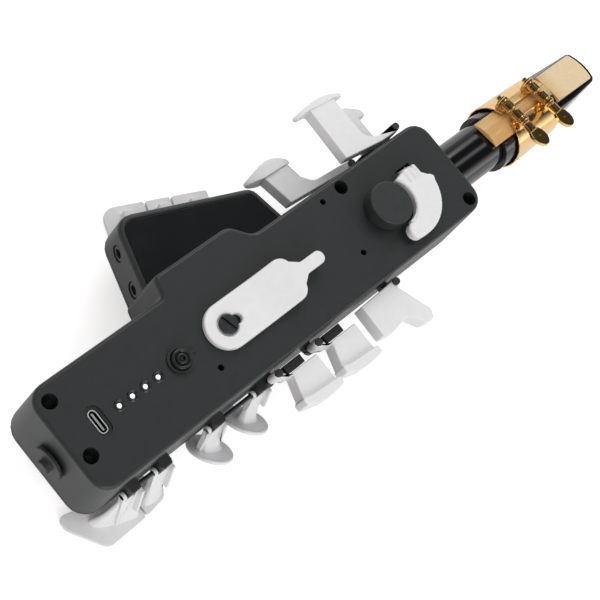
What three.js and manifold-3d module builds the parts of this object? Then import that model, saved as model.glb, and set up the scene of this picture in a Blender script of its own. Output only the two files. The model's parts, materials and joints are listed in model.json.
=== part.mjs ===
// Digital wind controller: a hand-held electronic wind instrument in separate pieces.
// Millimetres. X runs from the bottom end to the mouthpiece, Y towards the side wing and
// Z out of the back face, where the thumbs rest. The back face is at height zero.
import * as THREE from 'three';
import { mergeVertices } from 'three/addons/utils/BufferGeometryUtils.js';
import Module from 'manifold-3d';

const wasm = await Module();
wasm.setup();

// General sizes
const gap = 0.3;
const overrun = 1.5;
const chordError = 0.1;
const wall = 2;

// Housing
const bodyLength = 195;
const halfWidth = 20.6;
const bodyDepth = 32;
const coverDepth = 3.2;
const cornerRadius = 7;
const draftAngle = 2;
const edgeRadius = 1.5;
const frontEdgeRadius = 2.5;
const bumpReach = 28.3;
const bumpStart = 61.9;
const bumpEnd = 97.5;
const bumpFoot = 103.8;
const bumpRadius = 6;
const smallRadius = 2;
const wingDrop = 13;
const wingHeel = [70.7, 55.9];
const wingToe = [123.9, 36.9];
const wingHeelFoot = 59.8;
const wingToeFoot = 127;
const wingHeelRadius = 7;
const wingToeRadius = 5;
const coverInside = -bodyDepth + coverDepth;
const shellRim = coverInside + gap;

// Label plate, let into the back of the wing
const labelThickness = 0.7;
const labelMargin = 2.2;

// Housing screws in deep counterbores
const screwPlaces = [
  [5.6, 14.2],
  [5.2, -7.5],
  [189.2, -15.9],
  [145.8, 16.2],
];
const screwHoleRadius = 2.8;
const screwHeadRadius = 2.4;
const screwHeadHeight = 1.8;
const screwShankRadius = 1;
const screwSeat = 16;
const screwBite = 2;
const bossRadius = 3.4;
const smallHolePlaces = [
  [135.4, 15.7],
  [135.3, -8],
  [60.6, -10.1],
];
const smallHoleRadius = 1.25;

// Main board on its standoffs
const boardStart = 11;
const boardEnd = 128;
const boardHalfWidth = 16;
const boardThickness = 1.6;
const boardDrop = 5;
const standoffRadius = 2.2;
const standoffInset = 4;

// Charging socket
const usbPlace = 14.5;
const usbLength = 8.94;
const usbWidth = 3.26;
const usbWall = 0.3;
const usbDepth = 3.6;
const usbTongueLength = 6.7;
const usbTongueWidth = 0.7;
const usbRecessLength = 11.5;
const usbRecessWidth = 5.8;
const usbRecessDepth = 0.6;

// Indicator lights
const lightStart = 23.4;
const lightPitch = 5.67;
const lightCount = 4;
const lightRadius = 0.8;
const lightRimRadius = 1.5;
const lightRimDepth = 0.4;
const lightStripHalfWidth = 2;
const lightStripThickness = 1.2;

// Power button
const buttonPlace = 50.4;
const buttonRadius = 3.7;
const buttonHeight = 2.5;
const buttonTravel = 0.6;
const buttonFlangeRadius = 4.8;
const buttonFlangeHeight = 0.8;
const buttonStemRadius = 1.5;
const buttonRingRadius = 4.9;
const buttonRingHeight = 0.8;
const nibLength = 1.6;
const nibWidth = 1.2;

// Thumb rest, thumb hook and its screw
const restPlace = 155;
const restRadius = 8.8;
const restHeight = 6.4;
const restBevel = 0.7;
const hookEnd = 71.7;
const hookHalfWidth = 8.6;
const hookShoulder = 104.5;
const hookShoulderRadius = 5;
const hookTabNeck = 2.3;
const hookTabStart = hookShoulder + hookTabNeck;
const hookTabLength = 11.2;
const hookTabEnd = hookTabStart + hookTabLength;
const hookTabHalfWidth = 2.5;
const hookTabRadius = 2.2;
const hookThickness = 2.1;
const hookRampStart = 92;
const hookRise = 3;
const hookTravel = 4.5;
const hookSlotRadius = 1.75;
const hookScrewHeadRadius = 3.6;
const hookScrewHeadHeight = 1.3;
const hookScrewShankRadius = 1.45;
const hookScrewSlotWidth = 0.9;
const hookScrewSlotDepth = 0.6;
const hookBossRadius = 3.4;

// Octave key beside the thumb rest
const octaveLow = 2.8;
const octaveThickness = 2.7;
const octaveClearance = 1.4;
const octaveBevel = 0.8;
const octaveAxisY = 7;
const octaveAxisDrop = 1;
const octavePinRadius = 0.7;
const octaveLugStart = 170.8;
const octaveLugEnd = 175.6;
const octaveLugHalfWidth = 1.4;
const octaveSlotMargin = 1.5;
const octaveCorners = [
  [0.4, -16, 3],
  [9.6, -15.9, 12],
  [17.2, -13.4, 9],
  [23.4, -5.6, 6],
  [23, 1.8, 3.5],
  [19.3, 2.9, 0.8],
  [19.9, 5.4, 0.8],
  [17.2, 7.6, 0.8],
  [13.2, 7.2, 0.8],
  [6.8, 6.8, 0.5],
  [2, 0, 0],
  [0.4, -8.2, 1],
];
const octavePinReach = 4;

// Wind air knob in the bottom end wall
const knobRadius = 6.5;
const knobThickness = 1.3;
const knobStandoff = 1.2;
const knobHubRadius = 2.6;
const knobHubLength = 4.6;
const knobShaftRadius = 1.6;
const knobClipRadius = 3;
const knobClipThickness = 1;

// Sockets in the end wall of the wing
const jackHeights = [31.4, 45.2];
const jackDrop = 20.5;
const jackRadius = 3;
const jackBoreRadius = 1.8;
const jackLength = 12;
const jackBoreDepth = 10;

// Neck and tenon
const neckTilt = 2;
const neckDrop = bodyDepth / 2;
const neckOffset = -1.2;
const mouthRoll = -9;
const neckRadius = 10.2;
const neckFlangeRadius = 11;
const neckFlangeThickness = 3;
const neckFlangeClearance = 0.8;
const neckNippleRadius = 4;
const neckNippleLength = 9;
const neckBoreRadius = 2.2;
const shankStart = 31;
const tenonRadius = 6.6;
const tenonLength = 19;
const corkThickness = 1.2;
const corkLength = 15;

// Mouthpiece
const mouthTip = 97.6;
const shankRadius = 12.2;
const shankCollar = 5;
const mouthRadius = 12.4;
const tableOffset = 10.1;
const tipHalfWidth = 8.1;
const tipArcRadius = 17;
const tipArcRise = 3;
const tipThickness = 1.5;
const taperStart = 40;
const beakStart = 62;
const chamberStart = 58;
const chamberRadius = 5.4;
const windowStart = 66;
const windowHalfWidth = 6;
const windowRim = 2;

// Reed
const reedHeel = 25.6;
const reedLength = 71;
const reedHeelHalfWidth = 6.9;
const reedTipHalfWidth = 7.5;
const reedCrown = 12.5;
const reedVamp = 68;
const reedTipThickness = 0.5;

// Ligature and its two thumb screws
const ligatureStart = 38;
const ligatureEnd = 67;
const ligatureThickness = 0.6;
const ligatureSlotHalfWidth = 2.6;
const ligatureTaper = 0.8;
const ligatureScrewPlaces = [41.5, 59];
const ligatureScrewHeight = 15.5;
const knuckleRadius = 2.1;
const knuckleLength = 4.6;
const knuckleFoot = 3;
const thumbScrewRadius = 1.1;
const thumbHeadLength = 9.4;
const thumbHeadWidth = 7;
const thumbHeadThickness = 1.6;
const thumbCollarRadius = 2;
const thumbCollarLength = 2.6;

// Pivot studs of the lever keys on the long walls
const pivotPinRadius = 0.85;
const pivotHeadRadius = 1.5;
const pivotBarrelRadius = 1.7;
const pivotOutset = 2.8;
const pivotLugDepth = 3;
const pivotPinProud = 0.8;

// Side keys on the right wall
const sideTop = -6;
const sideDepth = 7;
const sidePitch = 20.4;
const sidePivot = 79.5;
const sideBlockStart = 84.2;
const sideBlockEnd = 96.6;
const sideBase = 26;
const sideEnd = 37.4;
const sideFlare = 3.9;
const sidePlateStarts = [79.9, 80.2];
const sidePlateEnd = 97.6;
const sidePlateCrown = 41.2;
const sidePlateShoulder = 38.4;
const sidePlateOverhang = 1.6;
const sideArmThickness = 2;
const stopStart = 82.6;
const stopLength = 8.5;
const stopHeight = 3.3;
const stopDepth = 6;

// Third side key, shaped as a spoon
const spoonPivot = 142.2;
const spoonBlockStart = 123.6;
const spoonBlockEnd = 139.4;
const spoonBase = 23;
const spoonPlateStart = 123.2;
const spoonNeckReach = 4.6;
const spoonTipReach = 5.8;

// Palm keys on the left wall: outlines of the webs and of the touch plates, whose faces are oval
const palmPivot = 184.8;
const palmTop = -2;
const palmDepth = 6;
const palmBase = 24;
const palmWeb = [
  [157.8, 24.3, 0],
  [176.3, 21.9, 0],
  [palmPivot, 21.9, 0],
  [palmPivot, 25.1, 0],
  [170.7, 24.2, 6],
  [170.9, 47.3, 0],
  [158.4, 47.3, 0],
];
const palmPlate = [
  [151.7, 46.9, 0.6],
  [158.4, 46.9, 0],
  [176, 45.2, 0.5],
  [176.6, 46.5, 0.5],
  [165, 49.5, 23],
  [151.9, 48.5, 0.6],
];
const palmOvalRise = 1;
const palmOvalHeight = 8;
const palmSmallTop = -13.3;
const palmSmallDepth = 7;
const palmSmallStart = 170.5;
const palmSmallEnd = 186.4;
const palmSmallStem = 181;
const palmSmallStemWidth = 4;
const palmSmallLow = 36.5;
const palmSmallCrown = 42.5;
const palmLowTop = -16;
const palmLowPivot = 168;
const palmLowWeb = [
  [135.2, 24.2, 0],
  [palmLowPivot, 22, 0],
  [palmLowPivot, 25.1, 0],
  [149.5, 26.2, 4],
  [145.6, 31, 2],
  [143.9, 38.5, 0],
  [132.4, 38.5, 0],
];
const palmLowPlate = [
  [125.6, 39.2, 0.6],
  [132.4, 37.4, 1.5],
  [143.9, 37.2, 1.5],
  [147.2, 37.4, 0.5],
  [147.8, 38.8, 0.5],
  [138.4, 43.6, 14],
  [126.2, 40.9, 0.6],
];
const palmLowOvalRise = 1.2;
const palmLowOvalHeight = 9.2;
const palmStopStart = 163;
const palmStopLength = 8.5;
const palmStopHeight = 0.5;

// Finger keys and little-finger keys of the right hand
const lugHalfWidth = 2.2;
const lugTop = -13.5;
const lugDepth = 8.5;
const lugReach = 24.9;
const hingeY = -23.2;
const hingeZ = -19.5;
const hingePinRadius = 0.8;
const hingeBarrelRadius = 1.6;
const hingeHalfLength = 3.9;
const runningGap = 0.2;
const armThickness = 2.2;
const armSlope = 13;
const armRim = 1.2;
const armRimHeight = 2.2;
const fingerLetters = ['d', 'e'];
const fingerLugPlaces = [54.7, 76.7];
const fingerPadPlaces = [
  [54.4, -29.2],
  [72.5, -28.9],
];
const padDrop = 4.4;
const padLevel = -bodyDepth - padDrop;
const padRadius = 9;
const padThickness = 1.8;
const padDish = 0.5;
const padNormalShares = [-0.506, -0.436, -0.744];
const columnRadius = 2.7;
const columnLength = 6;
const armDrop = 0.7;
const armLength = hingeZ - padLevel - armDrop;
const armRimShare = 0.75;
const pinkyLugs = [15.7, 29.7];
const restDrop = 10.6;
const restLevel = -bodyDepth - restDrop;
const pinkyThickness = 2.4;
const pinkyArmDrop = 1.6;
const pinkyArmLength = hingeZ - restLevel - pinkyArmDrop;
const pinkyPlates = [
  [
    [-2.8, -20, 5],
    [5.6, -33.8, 4],
    [22.7, -33.4, 1],
    [22.7, -21, 1],
    [10, -18, 3],
    [-2.4, -14.6, 2],
  ],
  [
    [23.3, -33.3, 1],
    [33, -32, 3],
    [33.8, -27, 3],
    [31, -21, 2],
    [23.3, -21, 1],
  ],
];

// Table keys on the front of the wing
const tableCorner = [83.1, 66.95];
const tableTurn = -20.9;
const tableDivisions = [0, 18.2, 29, 44.8];
const tableOuterDepth = 12.5;
const tableInnerDepth = 8.5;
const tableRowGap = 0.8;
const tableThickness = 2.2;
const tableRadius = 5;
const tableAxis = 28;
const tableAxisDrop = 3.4;
const tableRodRadius = 1;
const tableBarrelRadius = 2;
const tableBarrelLength = 6;
const tableArmWidth = 4;
const tableArmThickness = 1.6;
const tableArmDrop = 4.2;
const tablePostWidth = 3;
const tablePostMargin = 1.4;

// Plunger keys on the front face: five for the left hand and one for the right forefinger
const plungers = [
  ['left_key_1', 127, 0],
  ['left_key_2', 147, 0],
  ['left_key_3', 156.5, -11],
  ['left_key_4', 166, 0],
  ['left_key_5', 183, 0],
  ['finger_key_f', 91, -7],
];
const plungerSmall = 'left_key_3';
const plungerRadius = 7.4;
const plungerSmallRadius = 4.2;
const plungerThickness = 4;
const plungerStemRadius = 3.2;
const plungerFlangeRadius = 4;
const plungerFlangeThickness = 1.2;
const plungerDish = 0.6;
const plungerBevel = 0.8;

// Battery, loudspeaker, breath sensor and breath tube inside
const batteryStart = 66;
const batteryLength = 42;
const batteryHalfWidth = 15;
const batteryThickness = 7;
const speakerPlace = 46;
const speakerRadius = 14;
const speakerDepth = 5.4;
const speakerMagnetRadius = 8;
const speakerRimThickness = 1.6;
const grillPitch = 4.2;
const grillHoleRadius = 1;
const grillSteps = 2;
const sensorStart = 112;
const sensorLength = 10;
const sensorHalfWidth = 5;
const sensorHeight = 6;
const sensorNippleRadius = 2.4;
const sensorNippleLength = 5;
const tubeRadius = 2.6;
const tubeSag = 2;
const tubeClearance = 0.8;

// Colours and finishes taken from the photograph
const finishes = {
  housing: { color: 0x373b3b, roughness: 0.55, metalness: 0 },
  label: { color: 0x16181b, roughness: 0.2, metalness: 0 },
  keys: { color: 0xe6e4e3, roughness: 0.4, metalness: 0 },
  black_gloss: { color: 0x0b0b0d, roughness: 0.12, metalness: 0 },
  black_matte: { color: 0x2a2d2e, roughness: 0.6, metalness: 0 },
  gilt: { color: 0xd6a84e, roughness: 0.2, metalness: 1 },
  cane: { color: 0xe2c898, roughness: 0.6, metalness: 0 },
  steel: { color: 0x8d9194, roughness: 0.3, metalness: 1 },
  light: { color: 0xffffff, roughness: 0.4, metalness: 0 },
  board: { color: 0x1f5a37, roughness: 0.5, metalness: 0 },
  battery: { color: 0x8a98a8, roughness: 0.4, metalness: 0 },
  silicone: { color: 0xd9dcdc, roughness: 0.5, metalness: 0 },
};

// Geometry helpers

function signedVolume(positions, index) {
  const [a, b, c] = [new THREE.Vector3(), new THREE.Vector3(), new THREE.Vector3()];
  let total = 0;
  for (let i = 0; i < index.length; i += 3) {
    a.fromArray(positions, index[i] * 3);
    b.fromArray(positions, index[i + 1] * 3);
    c.fromArray(positions, index[i + 2] * 3);
    total += a.dot(b.cross(c));
  }
  return total;
}

function toSolid(geometry) {
  const bare = geometry.clone();
  bare.deleteAttribute('normal');
  bare.deleteAttribute('uv');
  const merged = mergeVertices(bare);
  const vertProperties = new Float32Array(merged.attributes.position.array);
  const triVerts = new Uint32Array(merged.index.array);
  if (signedVolume(vertProperties, triVerts) < 0) {
    for (let i = 0; i < triVerts.length; i += 3) {
      [triVerts[i], triVerts[i + 1]] = [triVerts[i + 1], triVerts[i]];
    }
  }
  return new wasm.Manifold(new wasm.Mesh({ numProp: 3, vertProperties, triVerts }));
}

function toGeometry(solid) {
  const mesh = solid.getMesh();
  const geometry = new THREE.BufferGeometry();
  geometry.setAttribute('position', new THREE.BufferAttribute(mesh.vertProperties, 3));
  geometry.setIndex(new THREE.BufferAttribute(mesh.triVerts, 1));
  geometry.computeVertexNormals();
  return geometry;
}

function arcSteps(radius, angle) {
  const step = 2 * Math.acos(1 - Math.min(chordError / radius, 1));
  return Math.max(Math.ceil(angle / step), 1);
}

function roundSteps(radius) {
  return Math.max(arcSteps(radius, 2 * Math.PI), 8);
}

// Corners are [x, y, radius], anticlockwise. A grown outline has its sides moved outward.
function outline(corners, grown = 0) {
  const count = corners.length;
  const sides = corners.map(([x, y], i) => {
    const [nextX, nextY] = corners[(i + 1) % count];
    const along = new THREE.Vector2(nextX - x, nextY - y).normalize();
    const outward = new THREE.Vector2(along.y, -along.x);
    return { start: new THREE.Vector2(x, y).addScaledVector(outward, grown), along };
  });
  const points = [];
  corners.forEach(([, , radius = 0], i) => {
    const before = sides[(i + count - 1) % count];
    const after = sides[i];
    const turn = before.along.cross(after.along);
    const reach = after.start.clone().sub(before.start).cross(after.along) / turn;
    const corner = before.start.clone().addScaledVector(before.along, reach);
    if (radius === 0) {
      points.push(corner);
      return;
    }
    const bend = Math.atan2(turn, before.along.dot(after.along));
    const side = Math.sign(bend);
    const bendRadius = Math.max(radius + side * grown, chordError);
    const tangent = bendRadius * Math.tan(Math.abs(bend) / 2);
    const inward = new THREE.Vector2(-before.along.y, before.along.x).multiplyScalar(side * bendRadius);
    const start = corner.clone().addScaledVector(before.along, -tangent);
    const centre = start.clone().add(inward);
    const steps = arcSteps(radius, Math.abs(bend));
    for (let step = 0; step <= steps; step += 1) {
      points.push(start.clone().rotateAround(centre, (bend * step) / steps));
    }
  });
  return points;
}

// Joins rings of equal length, given as [height, points], into one closed solid
function stack(levels) {
  const positions = [];
  const index = [];
  const count = levels[0][1].length;
  levels.forEach(([height, ring]) => ring.forEach((point) => positions.push(point.x, point.y, height)));
  for (let level = 0; level + 1 < levels.length; level += 1) {
    for (let i = 0; i < count; i += 1) {
      const next = (i + 1) % count;
      const low = level * count;
      const high = low + count;
      index.push(low + i, low + next, high + next, low + i, high + next, high + i);
    }
  }
  const top = (levels.length - 1) * count;
  const cap = THREE.ShapeUtils.triangulateShape(levels[0][1].slice(), []);
  cap.forEach(([a, b, c]) => index.push(c, b, a, top + a, top + b, top + c));
  const geometry = new THREE.BufferGeometry();
  geometry.setAttribute('position', new THREE.Float32BufferAttribute(positions, 3));
  geometry.setIndex(index);
  return toSolid(geometry);
}

function prism(corners, low, high, grown = 0) {
  const ring = outline(corners, grown);
  return stack([[low, ring], [high, ring]]);
}

// A prism whose low and high edges are rounded. Its sides lean outward below the height
// called top, where the outline has its own size, unless the lean is zero.
function roundedPrism(corners, low, high, lowEdge, highEdge, lean = 0, top = high) {
  const ring = (height, inset) => [height, outline(corners, (top - height) * lean - inset)];
  const quarter = (edge, height, direction) => {
    const steps = arcSteps(edge, Math.PI / 2);
    return Array.from({ length: steps + 1 }, (_, step) => {
      const angle = (step / steps) * (Math.PI / 2);
      return ring(height + direction * edge * Math.sin(angle), edge * (1 - Math.cos(angle)));
    });
  };
  const lows = lowEdge > 0 ? quarter(lowEdge, low + lowEdge, -1).reverse() : [ring(low, 0)];
  const highs = highEdge > 0 ? quarter(highEdge, high - highEdge, 1) : [ring(high, 0)];
  return stack([...lows, ...highs]);
}

function block(lowX, highX, lowY, highY, lowZ, highZ) {
  const geometry = new THREE.BoxGeometry(highX - lowX, highY - lowY, highZ - lowZ);
  geometry.translate((lowX + highX) / 2, (lowY + highY) / 2, (lowZ + highZ) / 2);
  return toSolid(geometry);
}

// A turned piece: the profile is [radius, height], its axis is +Z through the origin
function turned(profile, largest) {
  const points = profile.map(([radius, height]) => new THREE.Vector2(radius, height));
  const geometry = new THREE.LatheGeometry(points, roundSteps(largest));
  geometry.rotateX(Math.PI / 2);
  return toSolid(geometry);
}

function drum(radius, low, high) {
  return turned([[0, low], [radius, low], [radius, high], [0, high]], radius);
}

// Places a solid whose axis is +Z so that the axis points along a direction
function aimed(solid, origin, direction) {
  const turn = new THREE.Quaternion().setFromUnitVectors(
    new THREE.Vector3(0, 0, 1),
    new THREE.Vector3(...direction).normalize(),
  );
  const matrix = new THREE.Matrix4();
  matrix.compose(new THREE.Vector3(...origin), turn, new THREE.Vector3(1, 1, 1));
  return solid.transform(matrix.elements);
}

function rod(radius, start, end) {
  const from = new THREE.Vector3(...start);
  const along = new THREE.Vector3(...end).sub(from);
  return aimed(drum(radius, 0, along.length()), start, along.toArray());
}

function joined(solids) {
  return solids.reduce((sum, solid) => sum.add(solid));
}

function without(solid, cuts) {
  return cuts.reduce((rest, cut) => rest.subtract(cut), solid);
}

const instrument = new THREE.Group();
instrument.name = 'digital_wind_controller';

function addPiece(name, solid, finish, parent = instrument) {
  const mesh = new THREE.Mesh(toGeometry(solid), new THREE.MeshStandardMaterial(finishes[finish]));
  mesh.name = name;
  parent.add(mesh);
  return mesh;
}

// Housing outlines
const bodyCorners = [
  [0, -halfWidth, cornerRadius],
  [bodyLength, -halfWidth, cornerRadius],
  [bodyLength, halfWidth, cornerRadius],
  [bumpFoot, halfWidth, bumpRadius],
  [bumpEnd, bumpReach, bumpRadius],
  [bumpStart, bumpReach, smallRadius],
  [wingHeelFoot, halfWidth, smallRadius],
  [0, halfWidth, cornerRadius],
];
const wingCorners = [
  [wingHeelFoot, 0, 0],
  [wingToeFoot, 0, 0],
  [wingToeFoot, halfWidth, smallRadius],
  [...wingToe, wingToeRadius],
  [...wingHeel, wingHeelRadius],
  [wingHeelFoot, halfWidth, smallRadius],
];

// The housing's walls lean outward towards the front
const lean = Math.tan(THREE.MathUtils.degToRad(draftAngle));
const wallAt = (height) => halfWidth - height * lean;

function hollow(corners, top, high) {
  const ring = (height) => [height, outline(corners, (top - height) * lean - wall)];
  return stack([ring(shellRim - overrun), ring(high)]);
}

// A lug on a long wall that carries the stud of a lever key; side is 1 for the left wall
function pivotLug(place, side, top) {
  const reach = side * (halfWidth + pivotOutset);
  const inner = side * (halfWidth - wall / 2);
  const low = top - pivotLugDepth;
  const foot = block(
    place - pivotBarrelRadius,
    place + pivotBarrelRadius,
    Math.min(inner, reach),
    Math.max(inner, reach),
    low,
    top,
  );
  return foot.add(drum(pivotBarrelRadius, low, top).translate([place, reach, 0]));
}

function pivotHole(place, side, top, depth) {
  const radius = pivotPinRadius + runningGap;
  return drum(radius, top - depth, top).translate([place, side * (halfWidth + pivotOutset), 0]);
}

const pivots = [
  { pin: 'side_pin_1', place: sidePivot, side: -1, top: sideTop, low: sideTop - sideDepth },
  { pin: 'side_pin_2', place: sidePivot + sidePitch, side: -1, top: sideTop, low: sideTop - sideDepth },
  { pin: 'side_pin_3', place: spoonPivot, side: -1, top: sideTop, low: sideTop - sideDepth },
  { pin: 'palm_pin_1', place: palmPivot, side: 1, top: palmTop, low: palmSmallTop - palmSmallDepth },
  { pin: 'palm_pin_2', place: palmLowPivot, side: 1, top: palmLowTop, low: palmLowTop - palmDepth },
];

function standoffs(radius, low, high) {
  return [boardStart + standoffInset * 2, boardEnd - standoffInset].flatMap((x) =>
    [-1, 1].map((side) =>
      drum(radius, low, high).translate([x, side * (boardHalfWidth - standoffInset), 0])));
}

// Line of the wing's end wall, and its outward direction
const heelFoot = new THREE.Vector2(wingHeelFoot, halfWidth);
const heelAlong = new THREE.Vector2(...wingHeel).sub(heelFoot).normalize();
const heelOut = [-heelAlong.y, heelAlong.x, 0];

function jackOrigin(y) {
  const reach = (y - heelFoot.y) / heelAlong.y;
  return [heelFoot.x + heelAlong.x * reach, y, -jackDrop];
}

// Back shell: the body and the wing as one moulding, open towards the front
function backShell() {
  const body = roundedPrism(bodyCorners, shellRim, 0, 0, edgeRadius, lean);
  const wing = roundedPrism(wingCorners, shellRim, -wingDrop, 0, edgeRadius, lean);
  const bodyHollow = hollow(bodyCorners, 0, -wall);
  const wingHollow = hollow(wingCorners, -wingDrop, -wingDrop - wall);
  const bosses = screwPlaces.map(([x, y]) => drum(bossRadius, shellRim, -wall / 2).translate([x, y, 0]));
  const hookBoss = drum(hookBossRadius, -boardDrop + gap, -wall / 2).translate([hookEnd, 0, 0]);
  const feet = standoffs(standoffRadius, -boardDrop + gap, -wall / 2);
  const buttonRing = drum(buttonRingRadius, -wall / 2, buttonRingHeight).translate([buttonPlace, 0, 0]);
  const nibStart = buttonPlace + buttonRingRadius - chordError;
  const nibHalf = nibWidth / 2;
  const nib = block(nibStart, nibStart + nibLength, -nibHalf, nibHalf, -wall / 2, buttonRingHeight);
  const keyLugs = pivots.map(({ place, side, low }) => pivotLug(place, side, low - gap));
  const hingeLugs = [...fingerLugPlaces, ...pinkyLugs].map((place) => roundedPrism([
    [place - lugHalfWidth, -lugReach, lugHalfWidth / 3],
    [place + lugHalfWidth, -lugReach, lugHalfWidth / 3],
    [place + lugHalfWidth, -halfWidth + wall / 2, 0],
    [place - lugHalfWidth, -halfWidth + wall / 2, 0],
  ], lugTop - lugDepth, lugTop, 0, 0));
  const shell = joined([
    without(body.add(wing), [bodyHollow, wingHollow]),
    ...bosses,
    hookBoss,
    ...feet,
    buttonRing,
    nib,
    ...keyLugs,
    ...hingeLugs,
  ]);
  return without(shell, shellCuts());
}

function labelPlate(margin, low, high) {
  const plate = prism([
    [wingHeelFoot, 0, 0],
    [wingToeFoot, 0, 0],
    [wingToeFoot, halfWidth, smallRadius],
    [...wingToe, wingToeRadius],
    [...wingHeel, wingHeelRadius],
    [wingHeelFoot, halfWidth, smallRadius],
  ], low, high, -margin);
  const inner = prism(bodyCorners, low - overrun, high + overrun, margin - labelMargin / 2);
  return plate.subtract(inner);
}

function usbSlot(length, width, low, high) {
  return prism([
    [usbPlace - width / 2, -length / 2, width / 2 - chordError],
    [usbPlace + width / 2, -length / 2, width / 2 - chordError],
    [usbPlace + width / 2, length / 2, width / 2 - chordError],
    [usbPlace - width / 2, length / 2, width / 2 - chordError],
  ], low, high);
}

function shellCuts() {
  const cuts = [];
  screwPlaces.forEach(([x, y]) => {
    cuts.push(drum(screwHoleRadius, -screwSeat, overrun).translate([x, y, 0]));
    cuts.push(drum(screwShankRadius + runningGap, shellRim - overrun, 0).translate([x, y, 0]));
  });
  smallHolePlaces.forEach(([x, y]) => {
    cuts.push(drum(smallHoleRadius, -wall - overrun, overrun).translate([x, y, 0]));
  });
  cuts.push(usbSlot(usbRecessLength, usbRecessWidth, -usbRecessDepth, overrun));
  cuts.push(usbSlot(usbLength + 2 * gap, usbWidth + 2 * gap, -wall - overrun, overrun));
  for (let light = 0; light < lightCount; light += 1) {
    const place = [lightStart + light * lightPitch, 0, 0];
    cuts.push(drum(lightRadius + gap, -wall - overrun, overrun).translate(place));
    cuts.push(drum(lightRimRadius, -lightRimDepth, overrun).translate(place));
  }
  const buttonHole = drum(buttonRadius + gap, -wall - overrun, buttonRingHeight + overrun);
  cuts.push(buttonHole.translate([buttonPlace, 0, 0]));
  cuts.push(drum(hookScrewShankRadius + runningGap, -boardDrop, overrun).translate([hookEnd, 0, 0]));
  cuts.push(labelPlate(labelMargin, -wingDrop - labelThickness - gap, -wingDrop + overrun));
  cuts.push(block(
    octaveLugStart - octaveSlotMargin,
    octaveLugEnd + octaveSlotMargin,
    octaveAxisY - octaveLugHalfWidth - octaveSlotMargin / 2,
    octaveAxisY + octaveLugHalfWidth + octaveSlotMargin / 2,
    -wall - overrun,
    overrun,
  ));
  cuts.push(rod(
    octavePinRadius + runningGap / 2,
    [octaveLugStart - octavePinReach - runningGap, octaveAxisY, -octaveAxisDrop],
    [octaveLugEnd + octavePinReach + runningGap, octaveAxisY, -octaveAxisDrop],
  ));
  const knobAxis = -bodyDepth / 2;
  cuts.push(rod(knobShaftRadius + runningGap, [-overrun, 0, knobAxis], [wall + overrun, 0, knobAxis]));
  jackHeights.forEach((y) => {
    const origin = jackOrigin(y);
    const hole = drum(jackRadius + gap, -wall - overrun, overrun);
    cuts.push(aimed(hole, origin, heelOut));
  });
  const neckHole = rod(neckRadius + gap, [-wall - overrun, 0, 0], [overrun, 0, 0]);
  cuts.push(neckHole.transform(neckMatrix().elements));
  pivots.forEach(({ place, side, low }) => {
    cuts.push(pivotHole(place, side, low - gap + overrun, pivotLugDepth));
  });
  [...fingerLugPlaces, ...pinkyLugs].forEach((place) => {
    cuts.push(rod(
      hingePinRadius + runningGap,
      [place - lugHalfWidth - overrun, hingeY, hingeZ],
      [place + lugHalfWidth + overrun, hingeY, hingeZ],
    ));
  });
  return cuts;
}

function neckMatrix() {
  const matrix = new THREE.Matrix4().makeRotationY(THREE.MathUtils.degToRad(neckTilt));
  return matrix.setPosition(bodyLength, neckOffset, -neckDrop);
}

// Table keys are laid out along the outer edge of the wing: u along it, v inward
function tableMatrix() {
  const matrix = new THREE.Matrix4().makeRotationZ(THREE.MathUtils.degToRad(tableTurn));
  return matrix.setPosition(tableCorner[0], tableCorner[1], 0);
}

const tableLength = tableDivisions[tableDivisions.length - 1];
const tableAxisLevel = -bodyDepth - tableAxisDrop;

function tablePosts() {
  const reach = tableBarrelRadius + tablePostMargin;
  return [-tablePostWidth, tableLength].map((u) => block(
    u + gap,
    u + tablePostWidth - gap,
    -tableAxis - reach / 2,
    -tableAxis + reach / 2,
    tableAxisLevel - reach / 2,
    -bodyDepth + wall / 2,
  ).transform(tableMatrix().elements));
}

// Front cover: a shallow lid with the rod's posts, the plungers' guides and the grille
function frontCover() {
  const body = roundedPrism(bodyCorners, -bodyDepth, coverInside, frontEdgeRadius, 0, lean, 0);
  const wing = roundedPrism(wingCorners, -bodyDepth, coverInside, frontEdgeRadius, 0, lean, -wingDrop);
  const cuts = screwPlaces.map(([x, y]) => {
    const hole = drum(screwShankRadius + runningGap, coverInside - screwBite, coverInside + overrun);
    return hole.translate([x, y, 0]);
  });
  plungers.forEach(([, x, y]) => {
    const hole = drum(plungerStemRadius + gap, -bodyDepth - overrun, coverInside + overrun);
    cuts.push(hole.translate([x, y, 0]));
  });
  for (let row = -grillSteps; row <= grillSteps; row += 1) {
    for (let column = -grillSteps; column <= grillSteps; column += 1) {
      const hole = drum(grillHoleRadius, -bodyDepth - overrun, coverInside + overrun);
      cuts.push(hole.translate([speakerPlace + column * grillPitch, row * grillPitch, 0]));
    }
  }
  cuts.push(tableRodSolid(tableRodRadius + runningGap / 2, runningGap));
  return without(joined([body, wing, ...tablePosts()]), cuts);
}

function tableRodSolid(radius, extra) {
  const solid = rod(
    radius,
    [-tablePostWidth / 2 - extra, -tableAxis, tableAxisLevel],
    [tableLength + tablePostWidth / 2 + extra, -tableAxis, tableAxisLevel],
  );
  return solid.transform(tableMatrix().elements);
}

addPiece('back_shell', backShell(), 'housing');
addPiece('front_cover', frontCover(), 'housing');
addPiece(
  'label_plate',
  labelPlate(labelMargin + gap, -wingDrop - labelThickness, -wingDrop),
  'label',
);

screwPlaces.forEach(([x, y], i) => {
  const seat = -screwSeat + gap;
  const screw = turned([
    [0, coverInside - screwBite + gap],
    [screwShankRadius, coverInside - screwBite + gap],
    [screwShankRadius, seat],
    [screwHeadRadius, seat],
    [screwHeadRadius, seat + screwHeadHeight],
    [0, seat + screwHeadHeight],
  ], screwHeadRadius);
  addPiece(`housing_screw_${i + 1}`, screw.translate([x, y, 0]), 'steel');
});

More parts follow.
